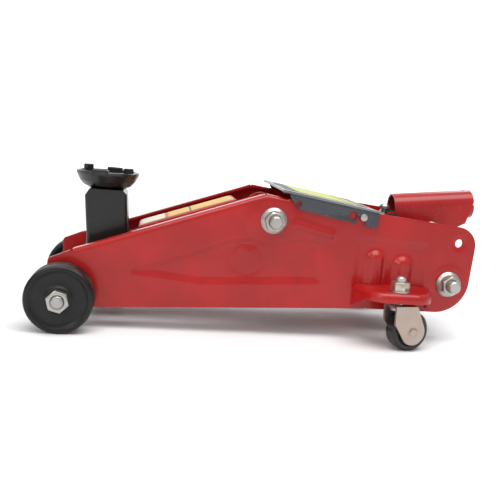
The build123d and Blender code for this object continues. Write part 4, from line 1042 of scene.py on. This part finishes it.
if top_points_down:
    bpy.ops.mesh.select_all(action="SELECT")
    bpy.ops.mesh.flip_normals()
bpy.ops.object.mode_set(mode="OBJECT")
modify(cover, "SOLIDIFY", thickness=0.002, offset=-1.0)
cut(cover, slab(cover_outline, 0.08), "INTERSECT")
for hole_x, hole_z, hole_radius in ((0.0257, 0.1349, 0.0027), (0.0812, 0.1268, 0.0044)):
    bpy.ops.mesh.primitive_cylinder_add(
        vertices=32,
        radius=hole_radius,
        depth=0.16,
        location=(hole_x, 0.0, hole_z),
        rotation=(pi / 2, 0.0, 0.0),
    )
    cut(cover, settle(bpy.context.object))
modify(cover, "BEVEL", width=0.00035, segments=2, limit_method="ANGLE", angle_limit=radians(40))
modify(cover, "TRIANGULATE")
hang(cover, "cover_sheet", "frame", ["cover_plate"], grey_enamel("grey_enamel"), 35.0)

# ------------------------------------------------------------------ printed labels
# Thin vinyl labels, blank but for their colour bands: a yellow-green one on the cover, and a long
# yellow one with a white end down the raised ridge pressed into the lift arm's top. They have
# faded a little and picked up grime.


def vinyl(name, middle, along, half_length, bands):
    """Colour bands laid along a direction; each band is a place from -1 to 1 and a colour."""
    finish = Finish(name)
    place = finish.vector("SUBTRACT", finish.coordinates, middle)
    share = finish.vector("DOT_PRODUCT", place, along, "Value") * (1.0 / half_length)
    cloud = finish.noise(80.0, 4.0, 0.6)
    colour = bands[0][1]
    for start, band in bands[1:]:
        colour = finish.blend(share > start, colour, band)
    grime = finish.ramp(finish.noise(220.0, 4.0, 0.7), 0.52, 0.75) * 0.35
    return finish.close(
        base_color=finish.blend(grime, colour, (0.20, 0.14, 0.07, 1.0)),
        roughness=0.38 + cloud * 0.18,
        metallic=0.0,
        height=finish.noise(700.0, 2.0),
        distance=0.00004,
        strength=0.4,
    )


def flat_label(middle, size, tilt):
    start_fresh()
    bpy.ops.mesh.primitive_plane_add(size=1.0)
    piece = bpy.context.object
    piece.scale = (size[0], size[1], 1.0)
    piece.rotation_euler = (0.0, tilt, 0.0)
    piece.location = middle
    settle(piece)
    bpy.ops.object.mode_set(mode="EDIT")
    bpy.ops.mesh.select_all(action="SELECT")
    bpy.ops.mesh.bevel(offset=0.0025, segments=5, affect="VERTICES")
    bpy.ops.object.mode_set(mode="OBJECT")
    modify(piece, "SOLIDIFY", thickness=0.0002, offset=1.0)
    return piece


black_ink = (0.018, 0.018, 0.020, 1.0)
green_ink = (0.42, 0.46, 0.05, 1.0)
cover_run = (cover_rear - cover_front).normalized()
label_middle = (cover_front + cover_rear) / 2 + Vector((0.0, 0.0, 0.00012))
cover_label = flat_label(label_middle, (0.086, 0.092), cover_fall)
cover_bands = ((-2.0, black_ink), (-0.72, green_ink), (0.55, black_ink), (0.62, green_ink), (0.80, black_ink))
cover_vinyl = vinyl("cover_vinyl", label_middle, cover_run, 0.043, cover_bands)
hang(cover_label, "cover_label", "frame", [], cover_vinyl)

post_pin_at = Vector((-0.1495, 0.0, 0.0630))
arm_run = (post_pin_at - pivot).normalized()
arm_up = Vector((arm_run.z, 0.0, -arm_run.x))
arm_tilt = -atan2(pivot.z - post_pin_at.z, pivot.x - post_pin_at.x)
arm_top_height = 0.0255
ridge_base = 0.0162
ridge_middle = pivot + arm_run * 0.0785 + arm_up * (ridge_base + arm_top_height) / 2
start_fresh()
bpy.ops.mesh.primitive_cube_add(size=1.0)
ridge = bpy.context.object
ridge.scale = (0.1130, 0.0488, arm_top_height - ridge_base)
settle(ridge)
bpy.ops.object.mode_set(mode="EDIT")
choose("verts", lambda place: place.z > 0)
bpy.ops.transform.resize(value=(0.90, 1.0, 1.0))
choose("edges", lambda middle, edge: middle.z > 0.004)
bpy.ops.mesh.bevel(offset=0.0026, segments=6, affect="EDGES")
bpy.ops.object.mode_set(mode="OBJECT")
ridge.rotation_euler = (0.0, arm_tilt, 0.0)
ridge.location = ridge_middle
settle(ridge)
hang(ridge, "arm_ridge", "lift_arm", [], red_rounded)
arm_label_middle = pivot + arm_run * 0.0785 + arm_up * (arm_top_height + 0.00012)
arm_label = flat_label(arm_label_middle, (0.094, 0.040), arm_tilt)
amber_ink = (0.62, 0.36, 0.035, 1.0)
white_ink = (0.66, 0.60, 0.46, 1.0)
red_ink = (0.50, 0.07, 0.02, 1.0)
arm_bands = ((-2.0, amber_ink), (-0.10, black_ink), (-0.06, amber_ink), (0.42, red_ink), (0.50, white_ink))
arm_vinyl = vinyl("arm_vinyl", arm_label_middle, arm_run, 0.047, arm_bands)
hang(arm_label, "arm_label", "lift_arm", [], arm_vinyl)

# ------------------------------------------------------------------ springs
# Two long return springs pull the ram back, and a short one lifts the pump plunger. They are close
# wound from oiled black wire.


def coil(start, direction, radius, wire, turns, length, steps=16):
    """A wire coil from start along direction."""
    start_fresh()
    bpy.ops.mesh.primitive_circle_add(
        vertices=8, radius=wire, location=(radius, 0, 0), rotation=(pi / 2, 0, 0)
    )
    piece = settle(bpy.context.object)
    modify(
        piece,
        "SCREW",
        screw_offset=length / turns,
        iterations=turns,
        steps=steps,
        render_steps=steps,
        use_normal_calculate=True,
    )
    take(piece)
    bpy.ops.object.mode_set(mode="EDIT")
    bpy.ops.mesh.select_all(action="SELECT")
    bpy.ops.mesh.remove_doubles(threshold=0.000005)
    bpy.ops.mesh.fill_holes(sides=8)
    bpy.ops.mesh.normals_make_consistent(inside=False)
    bpy.ops.object.mode_set(mode="OBJECT")
    piece.rotation_mode = "QUATERNION"
    piece.rotation_quaternion = Vector((0, 0, 1)).rotation_difference(Vector(direction))
    piece.location = start
    settle(piece)
    bpy.ops.object.shade_smooth_by_angle(angle=radians(60))
    return piece


def bending(piece, name, material, first, second, start, end, stands_for):
    piece.name = name
    piece.data.materials.clear()
    piece.data.materials.append(material)
    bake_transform(piece)
    if stands_for:
        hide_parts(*stands_for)


spring_front, spring_rear, spring_height = 0.0456, 0.1455, 0.0628
for side, side_name in ((-1, "left"), (1, "right")):
    at = (spring_front, side * 0.036, spring_height)
    spring = coil(at, (1, 0, 0), 0.0040, 0.0009, 44, spring_rear - spring_front, 14)
    ends = ((spring_front, 0.0, spring_height), (spring_rear, 0.0, spring_height))
    shape_for = ["return_springs"] if side < 0 else []
    bending(spring, f"return_spring_{side_name}", spring_steel, "ram", "frame", ends[0], ends[1], shape_for)
lift_low, lift_high = (0.1825, 0.0, 0.0985), (0.1825, 0.0, 0.1024)
lift_spring = coil(lift_low, (0, 0, 1), 0.0083, 0.0006, 3, lift_high[2] - lift_low[2], 32)
lift_bodies = ("frame", "pump_plunger")
bending(lift_spring, "plunger_coil", spring_steel, *lift_bodies, lift_low, lift_high, ["plunger_spring"])

# ------------------------------------------------------------------ king nuts
# M10 nuts of yellow zinc on the casters' king bolts, over a plain washer, with the bolt's rolled
# thread standing out of each.
king_pieces = []
for side in (-1, 1):
    at = Vector((king.x, side * abs(king.y), shelf_top + 0.0015))
    king_pieces.append(hexagon_nut(at, (0, 0, 1), 0.016, 0.0084, 0.0049, 0.2))
    king_pieces.append(threaded_end(at + Vector((0, 0, 0.004)), (0, 0, 1), 0.005, 0.0093, 0.0015))
hang(join(king_pieces), "king_hex_nuts", "frame", ["king_nuts"], yellow_zinc, 32.0)

# ------------------------------------------------------------------ floor, light and camera
# A pale sheet under the jack that sweeps up behind it, two broad soft lights overhead and one to
# the side.


def studio_white(name):
    finish = Finish(name)
    cloud = finish.noise(3.0, 2.0)
    return finish.close(
        base_color=finish.blend(cloud, (0.93, 0.93, 0.93, 1.0), (0.96, 0.96, 0.96, 1.0)),
        roughness=0.75 + cloud * 0.1,
    )


start_fresh()
bpy.ops.mesh.primitive_plane_add(size=1.0, location=(0.0, 1.0, 0.0))
sweep = bpy.context.object
sweep.scale = (12.0, 8.0, 1.0)
settle(sweep)
bpy.ops.object.mode_set(mode="EDIT")
choose("edges", lambda middle, edge: middle.y > 4.9)
bpy.ops.mesh.extrude_region_move(TRANSFORM_OT_translate={"value": (0.0, 0.0, 4.0)})
choose("edges", lambda middle, edge: middle.y > 4.9 and middle.z < 0.1)
bpy.ops.mesh.bevel(offset=2.0, segments=24, affect="EDGES")
bpy.ops.object.mode_set(mode="OBJECT")
bpy.ops.object.shade_smooth()
sweep.name = "studio_sweep"
sweep.data.materials.append(studio_white("studio_white"))

world = bpy.data.worlds.new("studio")
bpy.context.scene.world = world
world.use_nodes = True
world.node_tree.nodes["Background"].inputs["Color"].default_value = (1.0, 1.0, 1.0, 1.0)
world.node_tree.nodes["Background"].inputs["Strength"].default_value = 0.55


def soft_light(name, place, aim, size, power):
    light = bpy.data.lights.new(name, "AREA")
    light.shape = "RECTANGLE"
    light.size, light.size_y = size
    light.energy = power
    lamp = bpy.data.objects.new(name, light)
    lamp.location = place
    lamp.rotation_mode = "QUATERNION"
    lamp.rotation_quaternion = (Vector(aim) - Vector(place)).to_track_quat("-Z", "Y")
    bpy.context.scene.collection.objects.link(lamp)


soft_light("overhead", (0.1, -0.5, 1.5), (0.0, 0.0, 0.08), (1.6, 0.9), 20.0)
soft_light("near_left", (-1.1, -1.3, 0.9), (-0.05, 0.0, 0.08), (0.5, 0.5), 4.5)
soft_light("behind_right", (1.1, 1.0, 1.2), (0.1, 0.0, 0.08), (1.0, 0.6), 9.0)

soft_light("backdrop", (0.0, 2.0, 2.6), (0.0, 4.6, 1.2), (4.0, 1.0), 130.0)

camera_place = Vector((-0.1194, -0.7923, 0.2009))
turned_right = radians(7.894)
tipped_down = radians(8.911)
rolled = radians(4.66)
lens = 54.41
ahead = Vector((sin(turned_right), cos(turned_right), 0.0))
forward = ahead * cos(tipped_down) - Vector((0.0, 0.0, sin(tipped_down)))
level = Vector((cos(turned_right), -sin(turned_right), 0.0))
upright = level.cross(forward)
camera_right = cos(rolled) * level + sin(rolled) * upright
camera_up = cos(rolled) * upright - sin(rolled) * level
camera = bpy.data.cameras.new("camera")
camera.lens = lens
camera.sensor_width = 36.0
eye = bpy.data.objects.new("camera", camera)
bpy.context.scene.collection.objects.link(eye)
turn = Matrix((camera_right, camera_up, -forward)).transposed().to_4x4()
eye.matrix_world = Matrix.Translation(camera_place) @ turn
bpy.context.scene.camera = eye
bpy.context.scene.view_settings.view_transform = "Standard"
